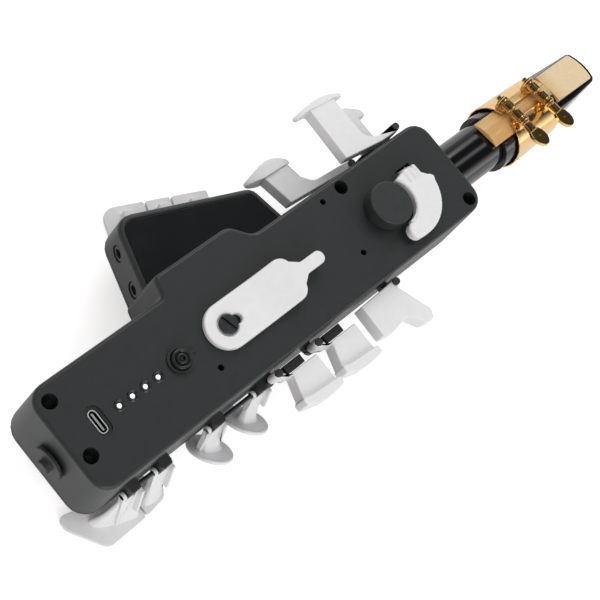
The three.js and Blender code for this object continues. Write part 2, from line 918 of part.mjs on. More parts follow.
// Electronics behind the back wall
const boardTop = -boardDrop;
const boardBottom = boardTop - boardThickness;
addPiece(
  'main_board',
  block(boardStart, boardEnd, -boardHalfWidth, boardHalfWidth, boardBottom, boardTop),
  'board',
);

function usbPort() {
  const low = boardTop + gap;
  const high = low + usbDepth;
  const shell = usbSlot(usbLength, usbWidth, low, high);
  const hollow = usbSlot(usbLength - 2 * usbWall, usbWidth - 2 * usbWall, low + usbWall, high + overrun);
  const tongue = block(
    usbPlace - usbTongueWidth / 2,
    usbPlace + usbTongueWidth / 2,
    -usbTongueLength / 2,
    usbTongueLength / 2,
    low + usbWall / 2,
    high - usbWall,
  );
  return shell.subtract(hollow).add(tongue);
}
addPiece('usb_port', usbPort(), 'steel');

function lightGuide() {
  const high = -wall - gap;
  const low = boardTop + gap;
  const end = lightStart + (lightCount - 1) * lightPitch;
  const strip = block(
    lightStart - lightStripHalfWidth,
    end + lightStripHalfWidth,
    -lightStripHalfWidth,
    lightStripHalfWidth,
    low,
    Math.min(low + lightStripThickness, high),
  );
  const posts = Array.from({ length: lightCount }, (_, light) =>
    drum(lightRadius, low + lightStripThickness / 2, -lightRimDepth / 2)
      .translate([lightStart + light * lightPitch, 0, 0]));
  return joined([strip, ...posts]);
}
addPiece('light_guide', lightGuide(), 'light');

function powerButton() {
  const flangeTop = -wall - gap;
  const flangeLow = flangeTop - buttonFlangeHeight;
  const stemLow = boardTop + gap + buttonTravel;
  const bevel = buttonRadius / 8;
  return turned([
    [0, stemLow],
    [buttonStemRadius, stemLow],
    [buttonStemRadius, flangeLow],
    [buttonFlangeRadius, flangeLow],
    [buttonFlangeRadius, flangeTop],
    [buttonRadius, flangeTop],
    [buttonRadius, buttonHeight - bevel],
    [buttonRadius - bevel, buttonHeight],
    [0, buttonHeight],
  ], buttonFlangeRadius).translate([buttonPlace, 0, 0]);
}
addPiece('power_button', powerButton(), 'black_matte');

jackHeights.forEach((y, i) => {
  const jack = turned([
    [0, -jackLength],
    [jackRadius, -jackLength],
    [jackRadius, 0],
    [jackBoreRadius, 0],
    [jackBoreRadius, -jackBoreDepth],
    [0, -jackBoreDepth],
  ], jackRadius);
  addPiece(`jack_${i + 1}`, aimed(jack, jackOrigin(y), heelOut), 'black_matte');
});

// The battery hangs under the board, and the loudspeaker lies on the cover
const batteryTop = boardBottom - gap;
const coverSeat = coverInside + gap;
addPiece(
  'battery',
  block(
    batteryStart,
    batteryStart + batteryLength,
    -batteryHalfWidth,
    batteryHalfWidth,
    batteryTop - batteryThickness,
    batteryTop,
  ),
  'battery',
);
addPiece(
  'speaker',
  turned([
    [0, coverSeat],
    [speakerRadius, coverSeat],
    [speakerRadius, coverSeat + speakerRimThickness],
    [speakerMagnetRadius, coverSeat + speakerDepth],
    [0, coverSeat + speakerDepth],
  ], speakerRadius).translate([speakerPlace, 0, 0]),
  'black_matte',
);

// Breath sensor under the board, and the tube that leads to it from the neck
const sensorTop = boardBottom - gap;
const sensorAxis = sensorTop - sensorHeight / 2;
const sensorEnd = sensorStart + sensorLength;
const sensorCase = block(
  sensorStart,
  sensorEnd,
  -sensorHalfWidth,
  sensorHalfWidth,
  sensorTop - sensorHeight,
  sensorTop,
);
const sensorNipple = rod(
  sensorNippleRadius,
  [sensorEnd - overrun, 0, sensorAxis],
  [sensorEnd + sensorNippleLength, 0, sensorAxis],
);
addPiece('breath_sensor', sensorCase.add(sensorNipple), 'black_matte');

function onNeckAxis(distance) {
  return new THREE.Vector3(distance, 0, 0).applyMatrix4(neckMatrix());
}

function breathTube() {
  const start = new THREE.Vector3(sensorEnd + sensorNippleLength + tubeClearance, 0, sensorAxis);
  const nipple = -wall - neckFlangeClearance - neckFlangeThickness - neckNippleLength;
  const end = onNeckAxis(nipple - tubeClearance);
  const middle = start.clone().lerp(end, 1 / 2);
  middle.z -= tubeSag;
  const path = new THREE.QuadraticBezierCurve3(start, middle, end);
  const section = new THREE.Shape();
  section.absarc(0, 0, tubeRadius, 0, 2 * Math.PI);
  const steps = Math.ceil(start.distanceTo(end) / (tubeRadius * 4));
  const geometry = new THREE.ExtrudeGeometry(section, {
    steps,
    extrudePath: path,
    curveSegments: 5,
    bevelEnabled: false,
  });
  return toSolid(geometry);
}
addPiece('breath_tube', breathTube(), 'silicone');

// Thumb rest, thumb hook and octave key on the back face
addPiece(
  'thumb_rest',
  turned([
    [0, gap],
    [restRadius, gap],
    [restRadius, restHeight - restBevel],
    [restRadius - restBevel, restHeight],
    [0, restHeight],
  ], restRadius).translate([restPlace, 0, 0]),
  'black_matte',
);

function thumbHook() {
  const top = gap + hookThickness;
  const plan = prism([
    [hookEnd - hookHalfWidth, -hookHalfWidth, hookHalfWidth - chordError],
    [hookShoulder, -hookHalfWidth, hookShoulderRadius],
    [hookTabStart, -hookTabHalfWidth, smallRadius],
    [hookTabEnd, -hookTabHalfWidth, hookTabRadius],
    [hookTabEnd, hookTabHalfWidth, hookTabRadius],
    [hookTabStart, hookTabHalfWidth, smallRadius],
    [hookShoulder, hookHalfWidth, hookShoulderRadius],
    [hookEnd - hookHalfWidth, hookHalfWidth, hookHalfWidth - chordError],
  ], 0, top + hookRise + overrun);
  const from = hookEnd - hookHalfWidth - overrun;
  const to = hookTabEnd + overrun;
  const ramp = hookRise * 2;
  const bend = hookThickness * 2;
  const side = prism([
    [from, gap, 0],
    [hookRampStart, gap, bend],
    [hookRampStart + ramp, gap + hookRise, bend],
    [to, gap + hookRise, 0],
    [to, top + hookRise, 0],
    [hookRampStart + ramp, top + hookRise, bend],
    [hookRampStart, top, bend],
    [from, top, 0],
  ], -hookHalfWidth - overrun, hookHalfWidth + overrun);
  const upright = side.rotate([90, 0, 0]);
  const slot = [
    drum(hookSlotRadius, 0, top + overrun).translate([hookEnd, 0, 0]),
    drum(hookSlotRadius, 0, top + overrun).translate([hookEnd + hookTravel, 0, 0]),
    block(hookEnd, hookEnd + hookTravel, -hookSlotRadius, hookSlotRadius, 0, top + overrun),
  ];
  return without(plan.intersect(upright), slot);
}
addPiece('thumb_hook', thumbHook(), 'keys');

function hookScrew() {
  const seat = gap + hookThickness + gap;
  const top = seat + hookScrewHeadHeight;
  const screw = turned([
    [0, boardTop + gap],
    [hookScrewShankRadius, boardTop + gap],
    [hookScrewShankRadius, seat],
    [hookScrewHeadRadius, seat],
    [hookScrewHeadRadius, top],
    [0, top],
  ], hookScrewHeadRadius);
  const slot = block(
    -hookScrewHeadRadius - overrun,
    hookScrewHeadRadius + overrun,
    -hookScrewSlotWidth / 2,
    hookScrewSlotWidth / 2,
    top - hookScrewSlotDepth,
    top + overrun,
  );
  return screw.subtract(slot).translate([hookEnd, 0, 0]);
}
addPiece('thumb_hook_screw', hookScrew(), 'black_matte');

function octaveKey() {
  const inner = restRadius + octaveClearance;
  const top = octaveLow + octaveThickness;
  const lobe = roundedPrism(
    octaveCorners.map(([x, y, radius]) => [restPlace + x, y, radius]),
    octaveLow,
    top,
    0,
    octaveBevel,
  );
  const lug = block(
    octaveLugStart,
    octaveLugEnd,
    octaveAxisY - octaveLugHalfWidth,
    octaveAxisY + octaveLugHalfWidth,
    -wall + octaveLugHalfWidth / 4,
    octaveLow + octaveThickness / 2,
  );
  const clearance = drum(inner, -overrun, top + overrun).translate([restPlace, 0, 0]);
  const bore = rod(
    octavePinRadius + runningGap / 2,
    [octaveLugStart - overrun, octaveAxisY, -octaveAxisDrop],
    [octaveLugEnd + overrun, octaveAxisY, -octaveAxisDrop],
  );
  return without(lobe.subtract(clearance).add(lug), [bore]);
}
addPiece('octave_key', octaveKey(), 'keys');
addPiece(
  'octave_pin',
  rod(
    octavePinRadius,
    [octaveLugStart - octavePinReach, octaveAxisY, -octaveAxisDrop],
    [octaveLugEnd + octavePinReach, octaveAxisY, -octaveAxisDrop],
  ),
  'steel',
);

// Knob in the bottom end wall, turned about X
function airKnob() {
  const clipStart = wall + gap;
  const profile = [
    [0, -clipStart - knobClipThickness],
    [knobClipRadius, -clipStart - knobClipThickness],
    [knobClipRadius, -clipStart],
    [knobShaftRadius, -clipStart],
    [knobShaftRadius, knobStandoff],
    [knobRadius, knobStandoff],
    [knobRadius, knobStandoff + knobThickness],
    [knobHubRadius, knobStandoff + knobThickness],
    [knobHubRadius, knobHubLength],
    [0, knobHubLength],
  ];
  return aimed(turned(profile, knobRadius), [0, 0, -bodyDepth / 2], [-1, 0, 0]);
}
addPiece('air_knob', airKnob(), 'black_matte');

// Lever keys: an outline of touch and arm with a barrel round its stud
function lever(corners, place, side, low, high, barrelTop = high) {
  const centre = [place, side * (halfWidth + pivotOutset), 0];
  const barrel = drum(pivotBarrelRadius, low, barrelTop).translate(centre);
  const bore = drum(pivotPinRadius + runningGap, low - overrun, barrelTop + overrun).translate(centre);
  return joined([...corners.map((list) => prism(list, low, high)), barrel]).subtract(bore);
}

pivots.forEach(({ pin, place, side, top, low }) => {
  const headTop = top + gap + pivotPinProud;
  const stud = drum(pivotPinRadius, low - pivotLugDepth + overrun, headTop);
  const head = drum(pivotHeadRadius, top + gap, headTop);
  addPiece(pin, stud.add(head).translate([place, side * (halfWidth + pivotOutset), 0]), 'black_matte');
});

// Side keys carry a rubber bumper between their back and the wall

function sideKey(shift, plateStart) {
  const axis = halfWidth + pivotOutset;
  const arm = [
    [sidePivot + shift, -axis - pivotBarrelRadius, 0],
    [sideBlockStart + sideArmThickness + shift, -sideBase - sideArmThickness, 0],
    [sideBlockStart + sideArmThickness + shift, -sideBase, 0],
    [sideBlockStart - sideArmThickness + shift, -sideBase, 0],
    [sidePivot + pivotBarrelRadius + shift, -axis, 0],
    [sidePivot + shift, -axis, 0],
  ];
  const touch = [
    [sideBlockStart + shift, -sideBase, 0],
    [sideBlockStart - sideFlare + shift, -sideEnd, 0],
    [sideBlockEnd + shift, -sideEnd, 0],
    [sideBlockEnd + shift, -sideBase, 0],
  ];
  const plate = [
    [plateStart + shift, -sideEnd + sideArmThickness, sideArmThickness / 3],
    [plateStart + shift, -sidePlateShoulder, sideArmThickness / 3],
    [(plateStart + sidePlateEnd) / 2 + shift, -sidePlateCrown, sidePlateCrown / 2],
    [sidePlateEnd + shift, -sidePlateCrown + sideArmThickness / 2, sideArmThickness / 3],
    [sidePlateEnd + shift, -sideEnd, 0],
    [sideBlockStart + shift, -sideEnd + sideArmThickness / 2, 0],
  ];
  return { arm, touch, plate };
}

sidePlateStarts.forEach((plateStart, i) => {
  const shift = i * sidePitch;
  const { arm, touch, plate } = sideKey(shift, plateStart);
  const low = sideTop - sideDepth;
  const key = lever([arm, touch], sidePivot + shift, -1, low, sideTop);
  const flare = prism(plate, low, sideTop + sidePlateOverhang);
  addPiece(`side_key_${i + 1}`, key.add(flare), 'keys');
  const stopStartX = stopStart + shift;
  addPiece(
    `side_stop_${i + 1}`,
    block(
      stopStartX,
      stopStartX + stopLength,
      -sideBase + gap,
      -sideBase + gap + stopHeight,
      sideTop - stopDepth,
      sideTop,
    ),
    'black_matte',
  );
});

function spoonKey() {
  const axis = halfWidth + pivotOutset;
  const low = sideTop - sideDepth;
  const touch = [
    [spoonBlockStart, -spoonBase, 0],
    [spoonPlateStart, -sideEnd + smallRadius / 2, sideArmThickness / 3],
    [spoonBlockStart + sideFlare, -sideEnd, smallRadius],
    [spoonBlockEnd - sideArmThickness, -sideEnd + overrun, smallRadius],
    [spoonBlockEnd + sideArmThickness, -sideEnd - spoonNeckReach, smallRadius],
    [spoonBlockEnd + 3 * sideArmThickness, -sideEnd - spoonTipReach, sideArmThickness],
    [spoonBlockEnd + 4 * sideArmThickness, -sideEnd - sideArmThickness, sideArmThickness],
    [spoonBlockEnd + sideArmThickness, -axis - pivotBarrelRadius, smallRadius],
    [spoonPivot, -axis - pivotBarrelRadius / 2, 0],
    [spoonPivot, -spoonBase + sideArmThickness / 3, 0],
  ];
  return lever([touch], spoonPivot, -1, low, sideTop);
}
addPiece('side_key_3', spoonKey(), 'keys');

// A touch plate seen from above, rounded to an oval when seen from the side
function ovalPlate(corners, top, rise, height) {
  const places = corners.map(([x]) => x);
  const [start, end] = [Math.min(...places), Math.max(...places)];
  const half = (end - start) / 2;
  const bar = aimed(drum(half, 0, bodyLength), [0, 0, 0], [0, 1, 0]);
  const oval = bar.scale([1, 1, height / (2 * half)]);
  const middle = top + rise - height / 2;
  const plate = prism(corners, middle - height, middle + height);
  return plate.intersect(oval.translate([(start + end) / 2, 0, middle]));
}

function palmKey() {
  const web = lever([palmWeb], palmPivot, 1, palmTop - palmDepth, palmTop);
  return web.add(ovalPlate(palmPlate, palmTop, palmOvalRise, palmOvalHeight));
}
addPiece('palm_key_1', palmKey(), 'keys');

function smallPalmKey() {
  const axis = halfWidth + pivotOutset;
  const low = palmSmallTop - palmSmallDepth;
  const stem = [
    [palmSmallStem - palmSmallStemWidth, palmBase, 0],
    [palmPivot, palmBase - sideArmThickness / 2, 0],
    [palmPivot, axis + pivotBarrelRadius, 0],
    [palmSmallStem + palmSmallStemWidth / 2, axis + 2 * pivotBarrelRadius, smallRadius],
    [palmSmallStem + palmSmallStemWidth / 2, palmSmallLow, 0],
    [palmSmallStem - palmSmallStemWidth, palmSmallLow, 0],
  ];
  const plate = [
    [palmSmallStart, palmSmallCrown - smallRadius / 4, smallRadius / 3],
    [palmSmallStem - palmSmallStemWidth, palmSmallLow, smallRadius],
    [palmSmallEnd, palmSmallLow - smallRadius / 2, smallRadius / 3],
    [palmSmallEnd, palmSmallLow + smallRadius, smallRadius],
    [palmSmallStem, palmSmallCrown, smallRadius],
    [palmSmallStart, palmSmallCrown + smallRadius, smallRadius / 3],
  ];
  return lever([stem, plate], palmPivot, 1, low, palmSmallTop, palmTop - palmDepth - gap);
}
addPiece('palm_key_2', smallPalmKey(), 'keys');

function lowPalmKey() {
  const web = lever([palmLowWeb], palmLowPivot, 1, palmLowTop - palmDepth, palmLowTop);
  return web.add(ovalPlate(palmLowPlate, palmLowTop, palmLowOvalRise, palmLowOvalHeight));
}
addPiece('palm_key_3', lowPalmKey(), 'keys');

// Distance of the palm key's rubber stop from the middle plane
const stopFoot = wallAt(palmTop - stopDepth) + gap;
addPiece(
  'palm_stop',
  block(
    palmStopStart,
    palmStopStart + palmStopLength,
    stopFoot,
    stopFoot + palmStopHeight,
    palmTop - stopDepth,
    palmTop,
  ),
  'black_matte',
);

// Keys that hang from the lugs on the right wall. Their arm runs down from the hinge and
// slopes outward; in its own plane x is along the instrument and y is up the arm.
function armMatrix(place) {
  const slope = THREE.MathUtils.degToRad(armSlope);
  const along = new THREE.Vector3(1, 0, 0);
  const up = new THREE.Vector3(0, Math.sin(slope), Math.cos(slope));
  const out = along.clone().cross(up);
  return new THREE.Matrix4().makeBasis(along, up, out).setPosition(place, hingeY, hingeZ);
}

function hangingArm(place, corners, rimLength) {
  const half = armThickness / 2;
  const fork = block(
    -lugHalfWidth - gap,
    lugHalfWidth + gap,
    -hingeBarrelRadius - lugDepth / 3,
    lugDepth,
    -lugReach,
    lugReach,
  );
  const plate = prism(corners, -half, half);
  const rim = block(hingeHalfLength - armRim, hingeHalfLength, -rimLength, 0, 0, half + armRimHeight);
  const barrel = rod(hingeBarrelRadius, [-hingeHalfLength, 0, 0], [hingeHalfLength, 0, 0]);
  const boreHalf = hingeHalfLength + overrun;
  const bore = rod(hingePinRadius + runningGap, [-boreHalf, 0, 0], [boreHalf, 0, 0]);
  const arm = without(joined([plate, rim, barrel]), [fork, bore]);
  return arm.transform(armMatrix(place).elements);
}

function hingeRod(name, places) {
  const start = Math.min(...places) - hingeHalfLength;
  const end = Math.max(...places) + hingeHalfLength;
  addPiece(name, rod(hingePinRadius, [start, hingeY, hingeZ], [end, hingeY, hingeZ]), 'steel');
}

fingerLugPlaces.forEach((place, i) => {
  const bottom = -armLength;
  const arm = hangingArm(place, [
    [-hingeHalfLength - columnRadius / 2, bottom, columnRadius],
    [hingeHalfLength + columnRadius / 2, bottom + columnRadius, columnRadius],
    [hingeHalfLength, 0, 0],
    [-hingeHalfLength, 0, 0],
  ], armLength * armRimShare);
  const origin = [...fingerPadPlaces[i], padLevel];
  const touch = aimed(turned([
    [0, -padThickness],
    [padRadius - padDish, -padThickness],
    [padRadius, -padThickness + padDish],
    [padRadius, -padDish / 2],
    [padRadius - padDish, 0],
    [padRadius / 2, -padDish],
    [0, -padDish],
  ], padRadius), origin, padNormalShares);
  const underside = -padThickness / 2;
  const column = drum(columnRadius, -padThickness - columnLength, underside);
  const stem = aimed(column, origin, padNormalShares);
  const beyond = aimed(drum(2 * padRadius, underside, armLength), origin, padNormalShares);
  addPiece(`finger_key_${fingerLetters[i]}`, joined([arm.subtract(beyond), touch, stem]), 'keys');
});
hingeRod('finger_rod', fingerLugPlaces);

pinkyLugs.forEach((place, i) => {
  const arm = hangingArm(place, [
    [-hingeHalfLength, -pinkyArmLength, 0],
    [hingeHalfLength, -pinkyArmLength, 0],
    [hingeHalfLength, 0, 0],
    [-hingeHalfLength, 0, 0],
  ], pinkyArmLength * armRimShare);
  const plate = roundedPrism(pinkyPlates[i], restLevel, restLevel + pinkyThickness, smallRadius / 4, 0);
  addPiece(`pinky_key_${i + 1}`, arm.add(plate), 'keys');
});
hingeRod('pinky_rod', pinkyLugs);

// Table keys: three outer plates, one long inner plate, all on one rod
function tableKey(start, end, near, far, armPlaces) {
  const low = restLevel;
  const high = restLevel + tableThickness;
  const first = start === 0 && near === 0;
  const rowEdge = near === 0 ? -gap : -near - tableRowGap;
  const plate = roundedPrism([
    [start + gap, -far + gap, smallRadius / 2],
    [end - gap, -far + gap, smallRadius / 2],
    [end - gap, rowEdge, smallRadius / 2],
    [start + gap, rowEdge, first ? tableRadius : smallRadius / 2],
  ], low, high, smallRadius / 4, 0);
  const armHigh = -bodyDepth - tableArmDrop;
  const armLow = armHigh - tableArmThickness;
  const half = tableArmWidth / 2;
  const postStart = Math.max(-far + gap, -near - 2 * tableArmWidth);
  const barrelHalf = tableBarrelLength / 2;
  const arms = armPlaces.flatMap((place) => [
    block(place - half, place + half, -tableAxis, -near - tableArmWidth, armLow, armHigh),
    block(place - half, place + half, postStart, -near - tableArmWidth, high - gap, armHigh),
    rod(
      tableBarrelRadius,
      [place - barrelHalf, -tableAxis, tableAxisLevel],
      [place + barrelHalf, -tableAxis, tableAxisLevel],
    ),
  ]);
  const bore = rod(
    tableRodRadius + runningGap,
    [start - overrun, -tableAxis, tableAxisLevel],
    [end + overrun, -tableAxis, tableAxisLevel],
  );
  return joined([plate, ...arms]).subtract(bore).transform(tableMatrix().elements);
}

const tableSpans = tableDivisions.slice(1).map((end, i) => [tableDivisions[i], end]);
const tableCentres = tableSpans.map(([start, end]) => (start + end) / 2);
tableSpans.forEach(([start, end], i) => {
  addPiece(`table_key_${i + 1}`, tableKey(start, end, 0, tableOuterDepth, [tableCentres[i]]), 'keys');
});
const innerArms = tableCentres.slice(1).map((centre, i) => (tableCentres[i] + centre) / 2);
addPiece(
  `table_key_${tableDivisions.length}`,
  tableKey(0, tableLength, tableOuterDepth, tableOuterDepth + tableInnerDepth, innerArms),
  'keys',
);
addPiece('table_rod', tableRodSolid(tableRodRadius, 0), 'steel');

// Plunger keys
plungers.forEach(([name, x, y]) => {
  const radius = name === plungerSmall ? plungerSmallRadius : plungerRadius;
  const capHigh = restLevel + plungerThickness;
  const flangeLow = coverInside + gap;
  const plunger = turned([
    [0, restLevel + plungerDish],
    [radius / 2, restLevel + plungerDish],
    [radius - plungerBevel, restLevel],
    [radius, restLevel + plungerBevel],
    [radius, capHigh],
    [plungerStemRadius, capHigh],
    [plungerStemRadius, flangeLow],
    [plungerFlangeRadius, flangeLow],
    [plungerFlangeRadius, flangeLow + plungerFlangeThickness],
    [0, flangeLow + plungerFlangeThickness],
  ], radius);
  addPiece(name, plunger.translate([x, y, 0]), 'keys');
});

// Neck, mouthpiece, reed and ligature, modelled along +X with the reed on the +Z side
const head = new THREE.Group();
neckMatrix().decompose(head.position, head.quaternion, head.scale);
head.rotateX(THREE.MathUtils.degToRad(mouthRoll));
instrument.add(head);

function alongX(solid) {
  return aimed(solid, [0, 0, 0], [1, 0, 0]);
}

// The cork on the tenon is glued on, so it is part of the neck
const corkRadius = tenonRadius + corkThickness;

function neck() {
  const flangeHigh = -wall - neckFlangeClearance;
  const flangeLow = flangeHigh - neckFlangeThickness;
  const nipple = flangeLow - neckNippleLength;
  const shoulder = shankStart - gap;
  const tenonEnd = shoulder + tenonLength;
  const corkEnd = shoulder + corkLength;
  return alongX(turned([
    [neckBoreRadius, nipple],
    [neckNippleRadius, nipple],
    [neckNippleRadius, flangeLow],
    [neckFlangeRadius, flangeLow],
    [neckFlangeRadius, flangeHigh],
    [neckRadius, flangeHigh],
    [neckRadius, shoulder],
    [corkRadius, shoulder],
    [corkRadius, corkEnd],
    [tenonRadius, corkEnd],
    [tenonRadius, tenonEnd],
    [neckBoreRadius, tenonEnd],
    [neckBoreRadius, nipple],
  ], neckFlangeRadius));
}
addPiece('neck', neck(), 'black_gloss', head);

// An outline in the plane of X and Z, pushed through to both sides
function sideSlab(corners, halfThickness) {
  return prism(corners, -halfThickness, halfThickness).rotate([90, 0, 0]);
}

const socketRadius = corkRadius + gap;
const socketEnd = shankStart + tenonLength + gap;

function mouthpiece() {
  const barrel = alongX(turned([
    [0, shankStart],
    [shankRadius, shankStart],
    [shankRadius, shankStart + shankCollar],
    [mouthRadius, shankStart + shankCollar + smallRadius],
    [mouthRadius, mouthTip + overrun],
    [0, mouthTip + overrun],
  ], mouthRadius));
  const plan = prism([
    [shankStart - overrun, -mouthRadius - overrun, 0],
    [taperStart, -mouthRadius - overrun, 0],
    [taperStart, -mouthRadius, 0],
    [mouthTip - tipArcRise, -tipHalfWidth, tipThickness],
    [mouthTip, 0, tipArcRadius],
    [mouthTip - tipArcRise, tipHalfWidth, tipThickness],
    [taperStart, mouthRadius, 0],
    [taperStart, mouthRadius + overrun, 0],
    [shankStart - overrun, mouthRadius + overrun, 0],
  ], -mouthRadius - overrun, mouthRadius + overrun);
  const profile = sideSlab([
    [shankStart - overrun, -mouthRadius - overrun, 0],
    [beakStart, -mouthRadius - overrun, 0],
    [mouthTip, tableOffset - tipThickness, 0],
    [mouthTip, tableOffset, 0],
    [shankStart + shankCollar, tableOffset, 0],
    [shankStart + shankCollar, mouthRadius + overrun, 0],
    [shankStart - overrun, mouthRadius + overrun, 0],
  ], mouthRadius + overrun);
  const shankTrim = block(
    shankStart - overrun,
    shankStart + shankCollar + overrun,
    -mouthRadius,
    mouthRadius,
    tableOffset,
    mouthRadius + overrun,
  );
  const socket = rod(socketRadius, [shankStart - overrun, 0, 0], [socketEnd, 0, 0]);
  const chamber = rod(chamberRadius, [socketEnd - overrun, 0, 0], [windowStart, 0, 0]);
  const opening = sideSlab([
    [chamberStart, -chamberRadius + chordError, 0],
    [mouthTip - tipArcRise - windowRim, tableOffset - tipThickness / 2, 0],
    [mouthTip - tipArcRise - windowRim, tableOffset + overrun, 0],
    [windowStart, tableOffset + overrun, 0],
    [windowStart, chamberRadius - chordError, 0],
    [chamberStart, chamberRadius - chordError, 0],
  ], windowHalfWidth);
  return without(barrel.intersect(plan).intersect(profile), [shankTrim, socket, chamber, opening]);
}
addPiece('mouthpiece', mouthpiece(), 'black_gloss', head);

function reed() {
  const seat = tableOffset + gap;
  const end = reedHeel + reedLength;
  const plan = prism([
    [reedHeel, -reedHeelHalfWidth, 0],
    [end - tipArcRise, -reedTipHalfWidth, smallRadius / 2],
    [end, 0, tipArcRadius],
    [end - tipArcRise, reedTipHalfWidth, smallRadius / 2],
    [reedHeel, reedHeelHalfWidth, 0],
  ], seat, reedCrown + overrun);
  const bark = rod(reedCrown, [reedHeel - overrun, 0, 0], [end + overrun, 0, 0]);
  const profile = sideSlab([
    [reedHeel, seat, 0],
    [end, seat, 0],
    [end, seat + reedTipThickness, 0],
    [reedVamp, reedCrown, 0],
    [reedVamp, reedCrown + overrun, 0],
    [reedHeel, reedCrown + overrun, 0],
  ], reedTipHalfWidth + overrun);
  const wide = block(reedVamp, end + overrun, -reedTipHalfWidth, reedTipHalfWidth, seat, reedCrown);
  return plan.intersect(bark.add(wide)).intersect(profile);
}
addPiece('reed', reed(), 'cane', head);

const ligatureInner = reedCrown + 2 * gap;
const ligatureOuter = ligatureInner + ligatureThickness;

// A bore or sleeve of the ligature: round at its near end and narrower across at its far end
function ligatureCone(radius, extra) {
  const steps = roundSteps(radius);
  const slope = ligatureTaper / (ligatureEnd - ligatureStart);
  const ring = (place) => {
    const across = radius - (place - ligatureStart) * slope;
    const points = Array.from({ length: steps }, (_, step) => {
      const angle = (step / steps) * 2 * Math.PI;
      return new THREE.Vector2(radius * Math.cos(angle), across * Math.sin(angle));
    });
    return [place, points];
  };
  return alongX(stack([ring(ligatureStart - extra), ring(ligatureEnd + extra)]));
}

function ligature() {
  const band = ligatureCone(ligatureOuter, 0).subtract(ligatureCone(ligatureInner, overrun));
  const slot = block(
    ligatureStart - overrun,
    ligatureEnd + overrun,
    -ligatureSlotHalfWidth,
    ligatureSlotHalfWidth,
    0,
    ligatureOuter + overrun,
  );
  const inside = ligatureCone(ligatureInner, 0);
  const knuckles = ligatureScrewPlaces.flatMap((place) => [-1, 1].map((side) => {
    const near = side * ligatureSlotHalfWidth;
    const far = side * (ligatureSlotHalfWidth + knuckleLength);
    const height = ligatureScrewHeight;
    const barrel = rod(knuckleRadius, [place, near, height], [place, far, height]);
    const foot = block(
      place - knuckleFoot / 2,
      place + knuckleFoot / 2,
      Math.min(near, far),
      Math.max(near, far),
      ligatureInner - knuckleFoot,
      height,
    );
    return barrel.add(foot).subtract(inside);
  }));
  const bores = ligatureScrewPlaces.map((place) => rod(
    thumbScrewRadius + runningGap,
    [place, -ligatureOuter, ligatureScrewHeight],
    [place, ligatureOuter, ligatureScrewHeight],
  ));
  return without(joined([band.subtract(slot), ...knuckles]), bores);
}
addPiece('ligature', ligature(), 'gilt', head);

const knuckleEnd = ligatureSlotHalfWidth + knuckleLength;
ligatureScrewPlaces.forEach((place, i) => {
  const collarStart = -knuckleEnd - gap;
  const headStart = collarStart - thumbCollarLength;
  const halfLength = thumbHeadLength / 2;
  const shaft = rod(
    thumbScrewRadius,
    [place, knuckleEnd + overrun, ligatureScrewHeight],
    [place, headStart - halfLength, ligatureScrewHeight],
  );
  const collar = rod(
    thumbCollarRadius,
    [place, collarStart, ligatureScrewHeight],
    [place, headStart - overrun, ligatureScrewHeight],
  );
  const paddle = drum(halfLength, -thumbHeadThickness / 2, thumbHeadThickness / 2)
    .scale([thumbHeadWidth / thumbHeadLength, 1, 1])
    .translate([place, headStart - halfLength, ligatureScrewHeight]);
  addPiece(`ligature_screw_${i + 1}`, joined([shaft, collar, paddle]), 'gilt', head);
});

// The origin is under the middle of the object, on the surface that it rests on
const bounds = new THREE.Box3().setFromObject(instrument, true);
const middle = bounds.getCenter(new THREE.Vector3());
instrument.position.set(-middle.x, -middle.y, -bounds.min.z);

export default instrument;
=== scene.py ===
# %% [markdown]
# # A digital wind controller, dressed piece by piece
# The instrument is a long dark plastic case that is played like a saxophone. It has a wing on one
# side, white keys on both long walls, and a neck with a mouthpiece, a reed and a gilt ligature.
# Its solids come packed at real size. This lesson keeps their places, and gives the visible pieces
# softer edges, finer detail and the finish of their real material.

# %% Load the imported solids
import json
import math
import bmesh
import bpy
from mathutils import Matrix, Vector

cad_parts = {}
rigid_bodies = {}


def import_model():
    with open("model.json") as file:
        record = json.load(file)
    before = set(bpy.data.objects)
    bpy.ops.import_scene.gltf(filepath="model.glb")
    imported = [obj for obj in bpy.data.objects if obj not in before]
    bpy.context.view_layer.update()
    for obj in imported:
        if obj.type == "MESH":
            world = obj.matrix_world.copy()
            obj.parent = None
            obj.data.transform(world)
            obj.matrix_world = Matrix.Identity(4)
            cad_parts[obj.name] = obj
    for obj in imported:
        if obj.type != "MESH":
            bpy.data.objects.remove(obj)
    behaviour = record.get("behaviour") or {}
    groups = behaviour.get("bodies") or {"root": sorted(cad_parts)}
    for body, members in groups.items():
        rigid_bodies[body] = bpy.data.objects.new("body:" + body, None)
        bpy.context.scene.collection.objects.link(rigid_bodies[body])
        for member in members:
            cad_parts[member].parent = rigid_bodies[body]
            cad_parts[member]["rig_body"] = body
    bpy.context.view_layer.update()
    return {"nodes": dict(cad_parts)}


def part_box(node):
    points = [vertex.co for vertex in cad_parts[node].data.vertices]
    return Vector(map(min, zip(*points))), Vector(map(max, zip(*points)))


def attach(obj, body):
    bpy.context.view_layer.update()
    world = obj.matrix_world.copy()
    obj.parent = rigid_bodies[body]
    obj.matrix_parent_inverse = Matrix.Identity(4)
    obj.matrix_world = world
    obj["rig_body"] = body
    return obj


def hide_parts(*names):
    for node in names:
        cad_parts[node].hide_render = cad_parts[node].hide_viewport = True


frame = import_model()

# %% [markdown]
# ## Where things are
# All sizes below are in millimetres in the instrument's own frame: X runs from its bottom end to
# the mouthpiece, Y towards the wing, and Z out of the back face, which is at height zero. The round
# thumb rest stands on the middle line, so its box tells where that frame lies among the solids.
# The neck and all that it carries are tilted and rolled a little, so they get a frame of their own.

